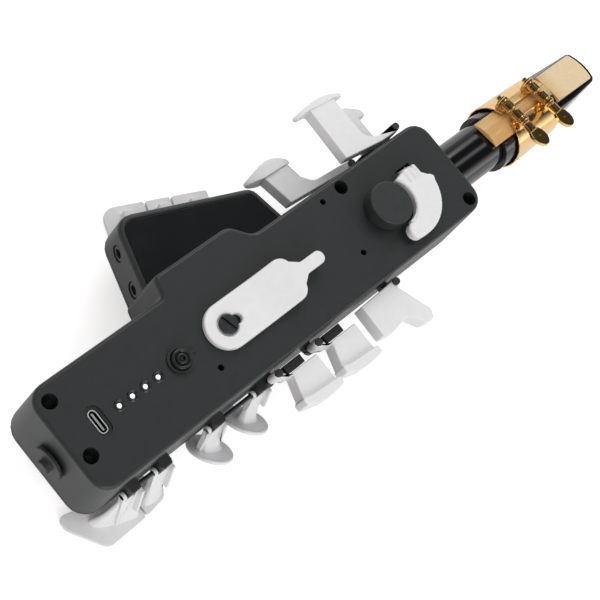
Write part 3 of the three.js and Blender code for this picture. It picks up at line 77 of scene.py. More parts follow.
# %% Frames of the instrument and of its neck
MM = 0.001
REST_PLACE = 155
REST_GAP = 0.3
rest_low, rest_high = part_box("thumb_rest")
rest_middle = (rest_low + rest_high) / 2
origin = Vector((rest_middle.x - REST_PLACE * MM, rest_middle.y, rest_low.z - REST_GAP * MM))
case_frame = Matrix.Translation(origin) @ Matrix.Scale(MM, 4)


def spot(x, y, z):
    """A point of the instrument's own frame, in metres among the solids."""
    return case_frame @ Vector((x, y, z))


NECK_FOOT = (195, -1.2, -16)
NECK_TILT = math.radians(2)
NECK_ROLL = math.radians(-9)
neck_frame = case_frame @ Matrix.Translation(NECK_FOOT)
neck_frame = neck_frame @ Matrix.Rotation(NECK_TILT, 4, "Y") @ Matrix.Rotation(NECK_ROLL, 4, "X")
print("back face at", round(spot(0, 0, 0).z, 4), "m")

# %% [markdown]
# ## The camera
# The photograph looks down on the back of the instrument from beyond its bottom end. The camera's
# place and directions were fitted to it, with the known width of the charging socket as the
# measure. A lens of 84 mm on a 36 mm sensor gives the narrow view that the nearly parallel edges
# of the case ask for.

# %% Camera at the photograph's angle
EYE = (-154, -34.4, 419.5)
LOOK_RIGHT = Vector((0.6823, -0.627, 0.3758))
LOOK_UP = Vector((0.5146, 0.777, 0.3625))
LENS = 84
camera = bpy.data.objects.new("camera", bpy.data.cameras.new("camera"))
bpy.context.scene.collection.objects.link(camera)
bpy.context.scene.camera = camera
look_back = LOOK_RIGHT.cross(LOOK_UP).normalized()
look_up = look_back.cross(LOOK_RIGHT).normalized()
turn = Matrix((LOOK_RIGHT.normalized(), look_up, look_back)).transposed()
camera.matrix_world = Matrix.Translation(spot(*EYE)) @ turn.to_4x4()
camera.data.lens = LENS
camera.data.clip_start = 10 * MM
print("camera", [round(c, 3) for c in camera.location])

# %% [markdown]
# ## Writing materials as sums
# A shader is a graph of nodes, but most of it is arithmetic. Here one small class wraps an output
# socket, so that a sum or a product written in Python adds the Math node for it. Every other kind
# of node comes from a single method that sets the node's options first and its sockets after.


# %% A socket that can be added and multiplied
class Wire:
    def __init__(self, paint, socket):
        self.paint = paint
        self.socket = socket

    def math(self, operation, first, second):
        return self.paint.node("ShaderNodeMath", {"operation": operation}, {0: first, 1: second})

    def __add__(self, other):
        return self.math("ADD", self, other)

    def __sub__(self, other):
        return self.math("SUBTRACT", self, other)

    def __rsub__(self, other):
        return self.math("SUBTRACT", other, self)

    def __mul__(self, other):
        return self.math("MULTIPLY", self, other)


print("made", Wire.__name__)


# %% A material and the one method that adds nodes to it
class Paint:
    def __init__(self, name, **shine):
        print("paint", name)
        self.material = bpy.data.materials.new(name)
        self.material.use_nodes = True
        self.tree = self.material.node_tree
        self.shader = self.tree.nodes["Principled BSDF"]
        for socket, value in shine.items():
            self.shader.inputs[socket.replace("_", " ")].default_value = value

    def join(self, socket, value):
        if isinstance(value, Wire):
            self.tree.links.new(value.socket, socket)
        else:
            socket.default_value = value

    def node(self, kind, settings, sockets, output=0):
        made = self.tree.nodes.new(kind)
        for option, value in settings.items():
            setattr(made, option, value)
        for name, value in sockets.items():
            self.join(made.inputs[name], value)
        return Wire(self, made.outputs[output])

    def set(self, **links):
        for socket, value in links.items():
            self.join(self.shader.inputs[socket.replace("_", " ")], value)


print("made", Paint.__name__)


# %% Patterns that most finishes share
def linear(code):
    """The shader's colour for a colour written as the picture shows it, such as "373b3b"."""
    shown = [int(code[i:i + 2], 16) / 255 for i in (0, 2, 4)]
    return tuple(c / 12.92 if c < 0.04045 else ((c + 0.055) / 1.055) ** 2.4 for c in shown) + (1,)


def place(paint, stretch=(1, 1, 1), tilt=(0, 0, 0)):
    coordinates = paint.node("ShaderNodeTexCoord", {}, {}, "Object")
    sockets = {"Vector": coordinates, "Scale": stretch, "Rotation": tilt}
    return paint.node("ShaderNodeMapping", {}, sockets)


def noise(paint, grain, detail, stretch=(1, 1, 1), tilt=(0, 0, 0)):
    """Noise whose features are about grain millimetres across."""
    sockets = {"Vector": place(paint, stretch, tilt), "Scale": 1 / (grain * MM), "Detail": detail}
    return paint.node("ShaderNodeTexNoise", {}, sockets)


# A Mix node has sockets for each kind of value, and these are the numbers of those for colours
MIX_SHARE, MIX_FIRST, MIX_SECOND, MIX_RESULT = 0, 6, 7, 2


def mixed(paint, share, first, second):
    sockets = {MIX_SHARE: share, MIX_FIRST: first, MIX_SECOND: second}
    return paint.node("ShaderNodeMix", {"data_type": "RGBA"}, sockets, MIX_RESULT)


def ramp(paint, value, start, end):
    """Zero where a value is at the start, one where it is at the end, and held beyond both."""
    return paint.node("ShaderNodeMapRange", {"clamp": True}, {0: value, 1: start, 2: end})


def axis_of(paint, vector, axis):
    return paint.node("ShaderNodeSeparateXYZ", {}, {0: vector}, axis)


def relief(paint, height, depth):
    """A bump whose full height is depth millimetres."""
    return paint.node("ShaderNodeBump", {}, {"Height": height, "Distance": depth * MM}, "Normal")


print("mid grey is", round(linear("808080")[0], 3), "to a shader")

# %% [markdown]
# ## Moulded plastic
# Nearly all of the instrument is moulded plastic. A mould is seldom polished: its steel is eroded
# by sparks, which leaves a fine even grain on the dark case, while the white keys are smoother. A
# picture of the surface could be wrapped round each piece, but noise in space needs no unwrapping.
# So one recipe serves all the plastics, with their colours, their gloss and their grain as its
# numbers. A second, much broader noise moves the gloss a little, as handling does, and a third
# clouds the colour.


# %% Recipe for moulded plastic
# How broad the worn patches and the clouds in the colour are, in millimetres
HANDLED, CLOUDED = 14, 3.2
SHADE_START, SHADE_CONTRAST = 0.28, 1.9


def moulded(name, light, dark, rough, spread, grain, depth, **shine):
    """The roughness varies by about its spread. The grain and its depth are in millimetres."""
    paint = Paint(name, **shine)
    fine = noise(paint, grain, 2.0)
    broad = noise(paint, HANDLED, 3.0)
    cloud = noise(paint, CLOUDED, 4.0)
    shade = (fine * 0.5 + cloud * 0.5 - SHADE_START) * SHADE_CONTRAST
    paint.set(Base_Color=mixed(paint, shade, linear(dark), linear(light)))
    # Each noise is a half on average, so three quarters of the spread are taken off again
    paint.set(Roughness=broad * spread + fine * (spread / 2) + (rough - spread * 0.75))
    paint.set(Normal=relief(paint, fine, depth))
    return paint.material


finish = {}
finish["case"] = moulded(
    "case_plastic", "262b2c", "1f2424", 0.44, 0.1, 0.28, 0.01, Specular_IOR_Level=0.45
)
finish["keys"] = moulded("key_plastic", "e6e7e8", "dbdcde", 0.36, 0.12, 0.5, 0.003)
finish["black_matte"] = moulded("matte_black_plastic", "2d3031", "222526", 0.5, 0.12, 0.25, 0.01)
finish["rubber"] = moulded("soft_rubber", "222324", "1a1b1c", 0.7, 0.1, 0.35, 0.015)
finish["black_satin"] = moulded("satin_black_plastic", "1b1d1e", "131516", 0.3, 0.1, 0.4, 0.004)
finish["label"] = moulded("gloss_plate", "17191c", "131518", 0.2, 0.08, 0.9, 0.002)
print("plastics", sorted(finish))

# %% [markdown]
# ## Polished black resin
# The neck and the mouthpiece are buffed to a deep gloss. A clear coat over black would give it too,
# but one smooth layer is enough for an even black. A perfect mirror looks like glass, so the gloss
# is broken by very faint streaks that run along the instrument, the way it is wiped.

# %% Recipe for polished black
gloss = Paint("polished_black", Specular_IOR_Level=0.55)
streaks = noise(gloss, 0.35, 3.0, (0.03, 1, 1))
haze = noise(gloss, 6.0, 2.0)
gloss.set(Base_Color=mixed(gloss, haze, linear("09090b"), linear("141417")))
gloss.set(Roughness=streaks * 0.06 + haze * 0.05 + 0.05)
gloss.set(Normal=relief(gloss, streaks, 0.0012))
finish["black_gloss"] = gloss.material

# %% [markdown]
# ## Gilt brass
# The ligature is bent from brass sheet, polished and gilded. Its colour is a metal's own, so it
# goes into the base colour with the metallic value at one. A picture of brass could be laid on it,
# but a metal mostly shows what it mirrors. So fine lines round the tube and a slight wave in the
# sheet are enough to keep its reflections from looking computed.

# %% Recipe for gilt brass
gilt = Paint("gilt_brass", Metallic=1.0)
turnings = noise(gilt, 0.25, 2.0, (1, 0.06, 0.06))
waves = noise(gilt, 5.0, 1.0)
tone = noise(gilt, 2.4, 3.0)
gilt.set(Base_Color=mixed(gilt, tone, linear("d6ad6c"), linear("ecca91")))
gilt.set(Roughness=turnings * 0.08 + tone * 0.06 + 0.07)
gilt.set(Normal=relief(gilt, turnings * 0.001 + waves * 0.02, 1.0))
finish["gilt"] = gilt.material

# %% [markdown]
# ## Cane
# A reed is a strip of cane. Its fibres run the length of the strip as dark and pale hairlines, and
# the scraped front half is paler than the polished bark at the heel. A scan of cane would show
# that best, but noise stretched along the reed gives the hairlines without one, and the colour
# depends on how far along the reed a point lies.

# %% Recipe for cane
SCRAPE_START, BLEND_BEFORE, BLEND_AFTER = 0.58, 4, 10
cane = Paint("cane")
fibres = noise(cane, 0.22, 3.0, (0.02, 1, 1))
bands = noise(cane, 1.1, 3.0, (0.05, 1, 1))
flecks = noise(cane, 0.5, 2.0, (0.15, 1, 1))
reed_low, reed_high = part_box("reed")
scrape_place = reed_low.x + (reed_high.x - reed_low.x) * SCRAPE_START
along = axis_of(cane, place(cane), "X")
scraped = ramp(cane, along, scrape_place - BLEND_BEFORE * MM, scrape_place + BLEND_AFTER * MM)
bark = mixed(cane, fibres * 0.6 + bands * 0.4, linear("a8763a"), linear("e6bd7c"))
inner = mixed(cane, fibres * 0.5 + flecks * 0.5, linear("cdb083"), linear("ecdcb8"))
cane.set(Base_Color=mixed(cane, scraped, bark, inner))
cane.set(Roughness=scraped * 0.25 + fibres * 0.15 + 0.22)
cane.set(Normal=relief(cane, fibres, 0.012))
finish["cane"] = cane.material

# %% [markdown]
# ## Small metal and inner parts
# The case's screws are plain steel, and the long rods and the screw of the hook are darkened. The
# charging socket is a drawn metal shell, painted near-black below its rim as painted shade inside the
# opening, and four pale guides carry the light of the indicators. Wear and dirt could be painted on
# them, but they are so small that one noise in each is enough. The inner parts hardly show, but they
# too get a finish, so that the model can be opened.

# %% Metals
LINE_SPREAD = 0.15


def metal(name, dark, light, rough, *line_shape):
    """Bare metal with lines, which are a noise of the given grain, detail, stretch and tilt."""
    paint = Paint(name, Metallic=1.0)
    lines = noise(paint, *line_shape)
    paint.set(Base_Color=mixed(paint, lines, linear(dark), linear(light)))
    paint.set(Roughness=lines * LINE_SPREAD + rough)
    return paint.material


finish["steel"] = metal("turned_steel", "85898c", "b4b8ba", 0.2, 0.2, 3.0, (0.1, 1, 1))
scratches = (0.3, 3.0, (1, 0.2, 1), (0, 0, 0.3))
finish["dark_metal"] = metal("dark_metal", "303334", "5a5e60", 0.3, *scratches)

# %% Lights, socket, board, battery and tube
LAMP_GLOW = 0.9
lamp = Paint("lit_guide", Roughness=0.3, Emission_Strength=LAMP_GLOW)
milk = noise(lamp, 0.6, 2.0)
lamp.set(Base_Color=mixed(lamp, milk, linear("f4f6f8"), linear("ffffff")))
lamp.set(Emission_Color=mixed(lamp, milk, linear("dfe8f0"), linear("ffffff")))
finish["light"] = lamp.material

# Painted shade: the socket's shell is painted black below the first depth under its rim, as the shade
# inside it, and keeps its bright metal above the second
SHADE_DEPTH, UNSHADED_DEPTH = 0.5, 0.1
socket = Paint("socket_shell", Roughness=0.35)
socket_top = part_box("usb_port")[1].z
height = axis_of(socket, place(socket), "Z")
unshaded_share = ramp(socket, height, socket_top - SHADE_DEPTH * MM, socket_top - UNSHADED_DEPTH * MM)
worn = noise(socket, 0.4, 2.0)
bright = mixed(socket, worn, linear("b9bcbe"), linear("d8dadb"))
# Painted shade inside the socket: near-black deep down, the shell's own pale metal at the rim
socket.set(Base_Color=mixed(socket, unshaded_share, linear("050506"), bright))
finish["socket"] = socket.material

finish["board"] = moulded("circuit_board", "235f3c", "174a2b", 0.4, 0.1, 1.2, 0.01)
finish["battery"] = moulded("battery_foil", "98a5b3", "8492a1", 0.3, 0.1, 1.5, 0.03)
finish["silicone"] = moulded("silicone_tube", "e0e2e2", "d0d3d3", 0.45, 0.1, 0.8, 0.01)
print("finishes", len(finish))

# %% [markdown]
# ## Softer edges on the solids
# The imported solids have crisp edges, but no moulding does: an edge always has a small radius, and
# it is that radius which catches the light. So copies are taken of the solids that show, the loose
# triangles are merged, flat faces are joined again, and the sharp edges get a real bevel. Curved
# walls are told from edges by the angle between their faces. A modifier could do the same, but the
# edges can be chosen more closely here. The shading normal of each corner leans to the widest flat
# beside it, so that a flat looks flat right up to its rounded edge.

# %% Copy a solid with bevelled edges
FLAT = math.radians(1)
SHARP = math.radians(60)
SMOOTH = math.radians(50)
# Points that are closer than the first are one, and a level is met within the second, in millimetres
TINY, HAIR = 0.02, 0.01


def merged(node):
    """The solid with its triangles joined at their corners, and each flat as one face."""
    work = bmesh.new()
    work.from_mesh(frame["nodes"][node].data)
    bmesh.ops.remove_doubles(work, verts=work.verts, dist=TINY * MM)
    bmesh.ops.dissolve_degenerate(work, edges=work.edges, dist=TINY * MM)
    bmesh.ops.dissolve_limit(work, angle_limit=FLAT, verts=work.verts, edges=work.edges)
    return work


def above(level):
    """Chooses the edges that lie at a height in millimetres, or above it."""
    lowest = spot(0, 0, level).z - HAIR * MM
    return lambda edge: all(vert.co.z > lowest for vert in edge.verts)


def soften(work, width, segments=3, chosen=lambda edge: True):
    """Bevels the chosen ones of the sharp edges, by a width in millimetres."""
    edges = [e for e in work.edges if e.is_manifold and e.calc_face_angle() > SHARP and chosen(e)]
    bmesh.ops.bevel(
        work,
        geom=edges,
        offset=width * MM,
        offset_type="OFFSET",
        segments=segments,
        profile=0.5,
        affect="EDGES",
        material=-1,
        clamp_overlap=False,
    )
    return work


print("edges are sharp above", round(math.degrees(SHARP)), "degrees")


# %% Shading normals that keep the flats flat
def flats(work):
    """For each face, the number of the flat it belongs to, and the area of each flat."""
    flat_of, areas = {}, []
    for seed in work.faces:
        if seed in flat_of:
            continue
        flat_of[seed] = len(areas)
        areas.append(0.0)
        front = [seed]
        while front:
            face = front.pop()
            areas[flat_of[seed]] += face.calc_area()
            for edge in face.edges:
                for other in edge.link_faces:
                    if other not in flat_of and other.normal.angle(seed.normal, 0) < FLAT:
                        flat_of[other] = flat_of[seed]
                        front.append(other)
    return flat_of, areas


def corner_normals(work, smooth):
    """At every corner, the mean of the flats round it, in which the widest flats decide."""
    flat_of, areas = flats(work)
    normals = []
    for face in work.faces:
        for vert in face.verts:
            beside = [other for other in vert.link_faces if other.normal.angle(face.normal, 0) < smooth]
            near = {flat_of[other]: other.normal for other in beside}
            total = sum((near[flat] * areas[flat] ** 2 for flat in near), Vector())
            normals.append(total.normalized() if total.length > 0 else face.normal.copy())
    return normals


print("normals are shared below", round(math.degrees(SMOOTH)), "degrees")


# %% Make an object of a mesh, and stand it in for solids
def keep(name, work, body, surface, replaced=(), smooth=SMOOTH):
    """Makes a bmesh an object that rides on a body, wears a finish and may stand for solids."""
    work.normal_update()
    normals = corner_normals(work, smooth)
    mesh = bpy.data.meshes.new(name)
    work.to_mesh(mesh)
    work.free()
    mesh.shade_smooth()
    mesh.normals_split_custom_set(normals)
    mesh.materials.append(finish[surface])
    print(name, len(mesh.polygons), "faces")
    piece = bpy.data.objects.new(name, mesh)
    bpy.context.scene.collection.objects.link(piece)
    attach(piece, body)
    if replaced:
        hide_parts(*replaced)
    return piece


def softened(node, surface, width):
    body = frame["nodes"][node]["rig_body"]
    work = soften(merged(node), width)
    return keep(f"{node}_shaped", work, body, surface, (node,))


# %% The housing and its plate
LUG_WALL, LUG_EDGE = -22.3, 0.7
LABEL_EDGE = 0.12


def beyond(wall):
    """Chooses the edges that lie beyond a place on the Y axis, on the side away from the wing."""
    limit = spot(0, wall, 0).y
    return lambda edge: all(vert.co.y < limit for vert in edge.verts)


# The wide edges of both halves are round already, and only the hinge lugs need a bevel
for node in ("back_shell", "front_cover"):
    work = bmesh.new()
    work.from_mesh(frame["nodes"][node].data)
    bmesh.ops.remove_doubles(work, verts=work.verts, dist=HAIR * MM)
    if node == "back_shell":
        soften(work, LUG_EDGE, 3, beyond(LUG_WALL))
    keep(f"{node}_shaped", work, frame["nodes"][node]["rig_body"], "case", (node,))
softened("label_plate", "label", LABEL_EDGE)

# %% The white keys
PINKY_EDGE, OCTAVE_EDGE, KEY_EDGE = 0.25, 0.4, 0.45
for node in sorted(frame["nodes"]):
    if "_key" in node and node != "octave_key":
        softened(node, "keys", PINKY_EDGE if node.startswith("pinky") else KEY_EDGE)

# The octave key's plate gets a smooth cover further down, so here it is drawn in a little
OCTAVE_DRAWN, PLATE_LEVEL = 0.9, 1
DRAWN_FORWARD, DRAWN_DOWN = 0.5, 0.3
inner_key = softened("octave_key", "keys", OCTAVE_EDGE)
octave_low, octave_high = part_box("octave_key")
middle = (octave_low + octave_high) / 2
for vert in inner_key.data.vertices:
    if vert.co.z > spot(0, 0, PLATE_LEVEL).z:
        vert.co.x = middle.x + (vert.co.x - middle.x) * OCTAVE_DRAWN + DRAWN_FORWARD * MM
        vert.co.y = middle.y + (vert.co.y - middle.y) * OCTAVE_DRAWN
        vert.co.z -= DRAWN_DOWN * MM

# %% The dark pieces
STOP_EDGE, ROUND_EDGE = 0.15, 0.3
for node in ("side_stop_1", "side_stop_2", "palm_stop"):
    softened(node, "rubber", STOP_EDGE)
for node in ("air_knob", "thumb_rest", "jack_1", "jack_2"):
    softened(node, "black_matte", ROUND_EDGE)
for node in ("neck", "mouthpiece"):
    softened(node, "black_gloss", ROUND_EDGE)

# %% [markdown]
# ## The reed and the ligature
# The reed lies on the flat of the mouthpiece, and a narrow rim of black resin shows beside it and
# beyond its tip. It could be drawn anew, but the solid is nearly right. So its copy is only made a
# little narrower and shorter, in the neck's own frame, where the reed lies straight.

# %% Trim the reed and gild the ligature
REED_MIDDLE, REED_TRIM, VAMP_START, TIP_TRIM = 0.05, 0.94, 85, 0.9
THIN_EDGE = 0.15
work = soften(merged("reed"), THIN_EDGE)
bmesh.ops.transform(work, matrix=neck_frame.inverted(), verts=work.verts)
for vert in work.verts:
    vert.co.y = REED_MIDDLE + (vert.co.y - REED_MIDDLE) * REED_TRIM
    if vert.co.x > VAMP_START:
        vert.co.x = VAMP_START + (vert.co.x - VAMP_START) * TIP_TRIM
bmesh.ops.transform(work, matrix=neck_frame, verts=work.verts)
keep("reed_shaped", work, "mouthpiece", "cane", ("reed",))
for node in ("ligature", "ligature_screw_1", "ligature_screw_2"):
    softened(node, "gilt", THIN_EDGE)

# %% [markdown]
# ## Turned details
# Small round parts are profiles turned about an axis, as on a lathe, which is the shortest way to
# write their steps down. The power button has grooves that catch the fingertip, and each indicator
# light sits in a raised black ring. A profile is a list of radius and height in millimetres. One
# that starts and ends on the axis is closed by it, and any other one is a loop.

# %% Turn profiles about upright axes
TURN_STEPS = 48
SAME_PLACE, NO_LENGTH = 0.002, 0.001


def turned(profile, frames):
    work = bmesh.new()
    for frame_of_axis in frames:
        corners = [work.verts.new((radius, 0, height)) for radius, height in profile]
        pairs = list(zip(corners, corners[1:] + corners[:1]))
        closed_on_axis = profile[0][0] == 0 and profile[-1][0] == 0
        edges = [work.edges.new(pair) for pair in (pairs[:-1] if closed_on_axis else pairs)]
        before = set(work.verts) - set(corners)
        bmesh.ops.spin(
            work,
            geom=corners + edges,
            cent=(0, 0, 0),
            axis=(0, 0, 1),
            angle=2 * math.pi,
            steps=TURN_STEPS,
            use_merge=True,
        )
        made = [v for v in work.verts if v not in before]
        bmesh.ops.transform(work, matrix=frame_of_axis, verts=made)
    bmesh.ops.remove_doubles(work, verts=work.verts, dist=SAME_PLACE * MM)
    bmesh.ops.dissolve_degenerate(work, edges=work.edges, dist=NO_LENGTH * MM)
    bmesh.ops.recalc_face_normals(work, faces=work.faces)
    return work


def upright(x, y):
    return case_frame @ Matrix.Translation((x, y, 0))


BUTTON_PLACE = 50.4
button_low = (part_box("power_button")[0].z - origin.z) / MM
button_profile = [
    (0, button_low), (1.5, button_low), (1.5, -3.1), (4.8, -3.1), (4.8, -2.3), (3.7, -2.3),
    (3.7, 1.7), (3.5, 2.1), (3.1, 2.3), (2.7, 2.2), (2.5, 1.8), (2.2, 1.7), (2, 1.9), (1.9, 2.3),
    (1.5, 2.5), (1.1, 2.4), (0.95, 1.9), (0.7, 1.5), (0, 1.4),
]
work = turned(button_profile, [upright(BUTTON_PLACE, 0)])
keep("power_button_shaped", work, "power_button", "black_satin", ("power_button",))

LIGHT_START, LIGHT_STEP, LIGHTS = 23.4, 5.67, 4
ring_profile = [
    (0.88, -0.38), (1.45, -0.38), (1.45, 0.03), (2.1, 0.03), (2.02, 0.12), (1.7, 0.34), (1.45, 0.4),
    (1.25, 0.34), (0.88, -0.1),
]
light_places = [LIGHT_START + LIGHT_STEP * light for light in range(LIGHTS)]
work = turned(ring_profile, [upright(x, 0) for x in light_places])
keep("light_rings", work, "housing", "black_satin")

# %% [markdown]
# ## Barrels of the ligature's posts
# Each screw of the ligature runs through two small turned barrels, which stand on the band. They
# could be plain tubes, but their steps catch the light, so they are turned from a profile too. Two
# lie back to back on each screw, across the neck.

# %% Post barrels of the ligature
SCREW_PLACES = (41.5, 59)
SCREW_HEIGHT = 15.5
BARREL_SMOOTH = math.radians(35)
barrel_profile = [
    (1.25, 0.6), (2.2, 0.6), (2.5, 0.9), (2.5, 4.2), (2.1, 4.5), (2.1, 4.9), (2.6, 5.2), (2.6, 6.1),
    (2.3, 6.4), (1.25, 6.4),
]
barrel_frames = []
for place_of_screw in SCREW_PLACES:
    middle = neck_frame @ Matrix.Translation((place_of_screw, 0, SCREW_HEIGHT))
    for side in (1, -1):
        barrel_frames.append(middle @ Matrix.Rotation(side * math.pi / 2, 4, "X"))
work = turned(barrel_profile, barrel_frames)
keep("ligature_barrels", work, "mouthpiece", "gilt", (), BARREL_SMOOTH)

# %% [markdown]
# ## The thumb hook
# The hook is a bent strip with a full round end. Its screw sits in a round recess, beside the dark
# end of the slot that lets the hook slide. The strip could be built in its bent shape, but it is
# drawn flat, cut, rounded, and only then bent upward along a smooth curve, so that its rise never
# shows a crease.


# %% Cut a shape out of another
def carved(work, cutters):
    """The mesh less the cutters, by the exact boolean of a temporary object."""
    made = []
    for source in (work, *cutters):
        mesh = bpy.data.meshes.new("carving")
        source.to_mesh(mesh)
        source.free()
        thing = bpy.data.objects.new("carving", mesh)
        bpy.context.scene.collection.objects.link(thing)
        made.append(thing)
    for cutter in made[1:]:
        step = made[0].modifiers.new("cut", "BOOLEAN")
        step.operation = "DIFFERENCE"
        step.solver = "EXACT"
        step.object = cutter
    ready = made[0].evaluated_get(bpy.context.evaluated_depsgraph_get())
    result = bmesh.new()
    result.from_mesh(ready.to_mesh())
    for thing in made:
        mesh = thing.data
        bpy.data.objects.remove(thing)
        bpy.data.meshes.remove(mesh)
    return result


def arc(centre, radius, start, end, steps):
    """Points on an arc, with its angles in degrees."""
    angles = [math.radians(start + (end - start) * i / steps) for i in range(steps + 1)]
    return [(centre[0] + radius * math.cos(a), centre[1] + radius * math.sin(a)) for a in angles]


def slab(points, low, high):
    """A prism over a plan given in millimetres."""
    work = bmesh.new()
    face = work.faces.new([work.verts.new(spot(x, y, low)) for x, y in points])
    grown = bmesh.ops.extrude_face_region(work, geom=[face])
    lifted = [v for v in grown["geom"] if isinstance(v, bmesh.types.BMVert)]
    bmesh.ops.translate(work, verts=lifted, vec=(0, 0, (high - low) * MM))
    bmesh.ops.recalc_face_normals(work, faces=work.faces)
    return work


print("a quarter arc has", len(arc((0, 0), 1, 0, 90, 8)), "points")

# %% The hook's plan, its cuts and its bend
HOOK_END, HOOK_HALF, HOOK_LOW, HOOK_HIGH, HOOK_EDGE = 71.7, 8.6, 0.3, 2.4, 0.7
RECESS_HALF, RECESS_FLOOR = 3.95, 1.5
TRACK_END, TRACK_START_HALF, TRACK_END_HALF = 76.2, 1.75, 1.87
PAST = 1

# From the round end to the tip there is one side of the plan, and the other one mirrors it
hook_side = arc((100.2, -3.9), 4.7, 270, 345, 8)
hook_side += arc((109, -4.9), 2.4, 125, 90, 4)
hook_side += arc((115.6, -0.1), 2.4, 270, 360, 8)
hook_plan = arc((HOOK_END, 0), HOOK_HALF, 90, 270, 32) + hook_side
hook_plan += [(x, -y) for x, y in reversed(hook_side)]
work = slab(hook_plan, HOOK_LOW, HOOK_HIGH)
recess = slab(arc((HOOK_END, 0), RECESS_HALF, 0, 350, 35), RECESS_FLOOR, HOOK_HIGH + PAST)
track_plan = arc((HOOK_END, 0), TRACK_START_HALF, 90, 270, 16)
track_plan += arc((TRACK_END, 0), TRACK_END_HALF, 270, 450, 16)
work = carved(work, [recess, slab(track_plan, HOOK_LOW - PAST, HOOK_HIGH + PAST)])
bmesh.ops.remove_doubles(work, verts=work.verts, dist=HAIR * MM)
bmesh.ops.dissolve_limit(work, angle_limit=FLAT, verts=work.verts, edges=work.edges)
soften(work, HOOK_EDGE, 4, above(HOOK_HIGH))

# Cuts across it at every millimetre let the strip bend
BEND_START, BEND_END, CUTS_END, BEND_RISE = 86, 108, 114, 3
for x in range(BEND_START, CUTS_END):
    everything = work.verts[:] + work.edges[:] + work.faces[:]
    bmesh.ops.bisect_plane(work, geom=everything, plane_co=spot(x, 0, 0), plane_no=(1, 0, 0))
for vert in work.verts:
    along_bend = ((vert.co.x - origin.x) / MM - BEND_START) / (BEND_END - BEND_START)
    share = min(max(along_bend, 0), 1)
    vert.co.z += BEND_RISE * MM * share * share * (3 - 2 * share)
keep("thumb_hook_shaped", work, "thumb_hook", "keys", ("thumb_hook",))

# %% The screw that holds the hook
GROOVE_TURN = math.radians(-75)
GROOVE_LONG, GROOVE_HALF, GROOVE_FLOOR, GROOVE_TOP = 6, 0.65, 2.6, 5
screw_low = (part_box("thumb_hook_screw")[0].z - origin.z) / MM
screw_profile = [
    (0, screw_low), (1.45, screw_low), (1.45, 2.45), (3.6, 2.45), (3.6, 2.9), (3.35, 3.2), (0, 3.3),
]
work = turned(screw_profile, [upright(HOOK_END, 0)])
groove_plan = [
    (-GROOVE_LONG, -GROOVE_HALF), (GROOVE_LONG, -GROOVE_HALF),
    (GROOVE_LONG, GROOVE_HALF), (-GROOVE_LONG, GROOVE_HALF),
]
groove = slab(groove_plan, GROOVE_FLOOR, GROOVE_TOP)
turned_there = Matrix.Translation(spot(HOOK_END, 0, 0)) @ Matrix.Rotation(GROOVE_TURN, 4, "Z")
bmesh.ops.transform(groove, matrix=turned_there @ Matrix.Translation(-origin), verts=groove.verts)
work = carved(work, [groove])
keep("hook_screw_shaped", work, "housing", "dark_metal", ("thumb_hook_screw",))

# %% [markdown]
# ## Ribs and cover of the octave key
# Where the octave key passes over its pin it has three soft ribs. Each is a short bar with round
# ends, sunk so deep that only its back shows, which needs no blending. The key itself is one smooth
# kidney that bends round the thumb rest. A subdivided mesh could give that too, but a plan of five
# arcs with a rounded upper edge is short and keeps its outline.


# %% Bars with round ends
EQUATOR = 0.0001


def capsule(work, start, end, radius):
    first, last = spot(*start), spot(*end)
    made = bmesh.ops.create_uvsphere(work, u_segments=20, v_segments=10, radius=radius * MM)
    toward = (last - first).normalized()
    turn = toward.to_track_quat("Z", "Y").to_matrix()
    bmesh.ops.rotate(work, verts=made["verts"], cent=(0, 0, 0), matrix=turn)
    for vert in made["verts"]:
        ahead = vert.co.dot(toward) > EQUATOR * MM
        vert.co += last if ahead else first


RIB_PLACES = (168.7, 171.6, 173.8)
RIB_START, RIB_END, RIB_RADIUS = (6.2, 5), (2.6, 5.2), 1
work = bmesh.new()
for x in RIB_PLACES:
    capsule(work, (x, *RIB_START), (x, *RIB_END), RIB_RADIUS)
keep("octave_ribs", work, "octave_key", "keys")


# %% The smooth kidney over the octave key
OCTAVE_LOW, OCTAVE_HIGH, COVER_EDGE = 2.3, 5.6, 0.9

# The arcs follow the rest, the nose and its tip, then the outer back and the tail
kidney = arc((REST_PLACE, 0), 10.6, -70, 35, 14)
kidney += arc((170, 2.4), 5, 115, 10, 10)
kidney += arc((176.6, -1.4), 2.3, 75, 0, 5)
kidney += arc((160.5, 1), 18, -12, -100, 18)
kidney += arc((157, -13.4), 3.4, -100, -250, 12)
work = slab(kidney, OCTAVE_LOW, OCTAVE_HIGH)
soften(work, COVER_EDGE, 4, above(OCTAVE_HIGH))
keep("octave_plate", work, "octave_key", "keys")

# %% [markdown]
# ## Blades of the hanging keys
# The finger keys and the little-finger keys hang on blades that widen softly into their pads. Each
# blade is a skin through oval rings, and it hides the plain arm of the solid inside it. A finger
# pad is tilted, so the last rings of its blade follow the slope of the pad. Metaballs or sculpting
# could blend arm and pad as well, but rings keep the sizes in sight.

# %% A skin through oval rings
RING_STEPS, ROUNDNESS = 28, 0.7
BLADE_SMOOTH = math.radians(70)


def oval(centre, half_length, half_width, drift=0, slope=(0, 0)):
    """A ring in plan, squarer than an ellipse. It may drift in y as x grows, and slope in both."""
    x, y, z = centre
    ring = []
    for i in range(RING_STEPS):
        angle = 2 * math.pi * i / RING_STEPS
        along_x = half_length * math.copysign(abs(math.cos(angle)) ** ROUNDNESS, math.cos(angle))
        along_y = half_width * math.copysign(abs(math.sin(angle)) ** ROUNDNESS, math.sin(angle))
        along_y += along_x * drift
        ring.append((x + along_x, y + along_y, z + along_x * slope[0] + along_y * slope[1]))
    return ring


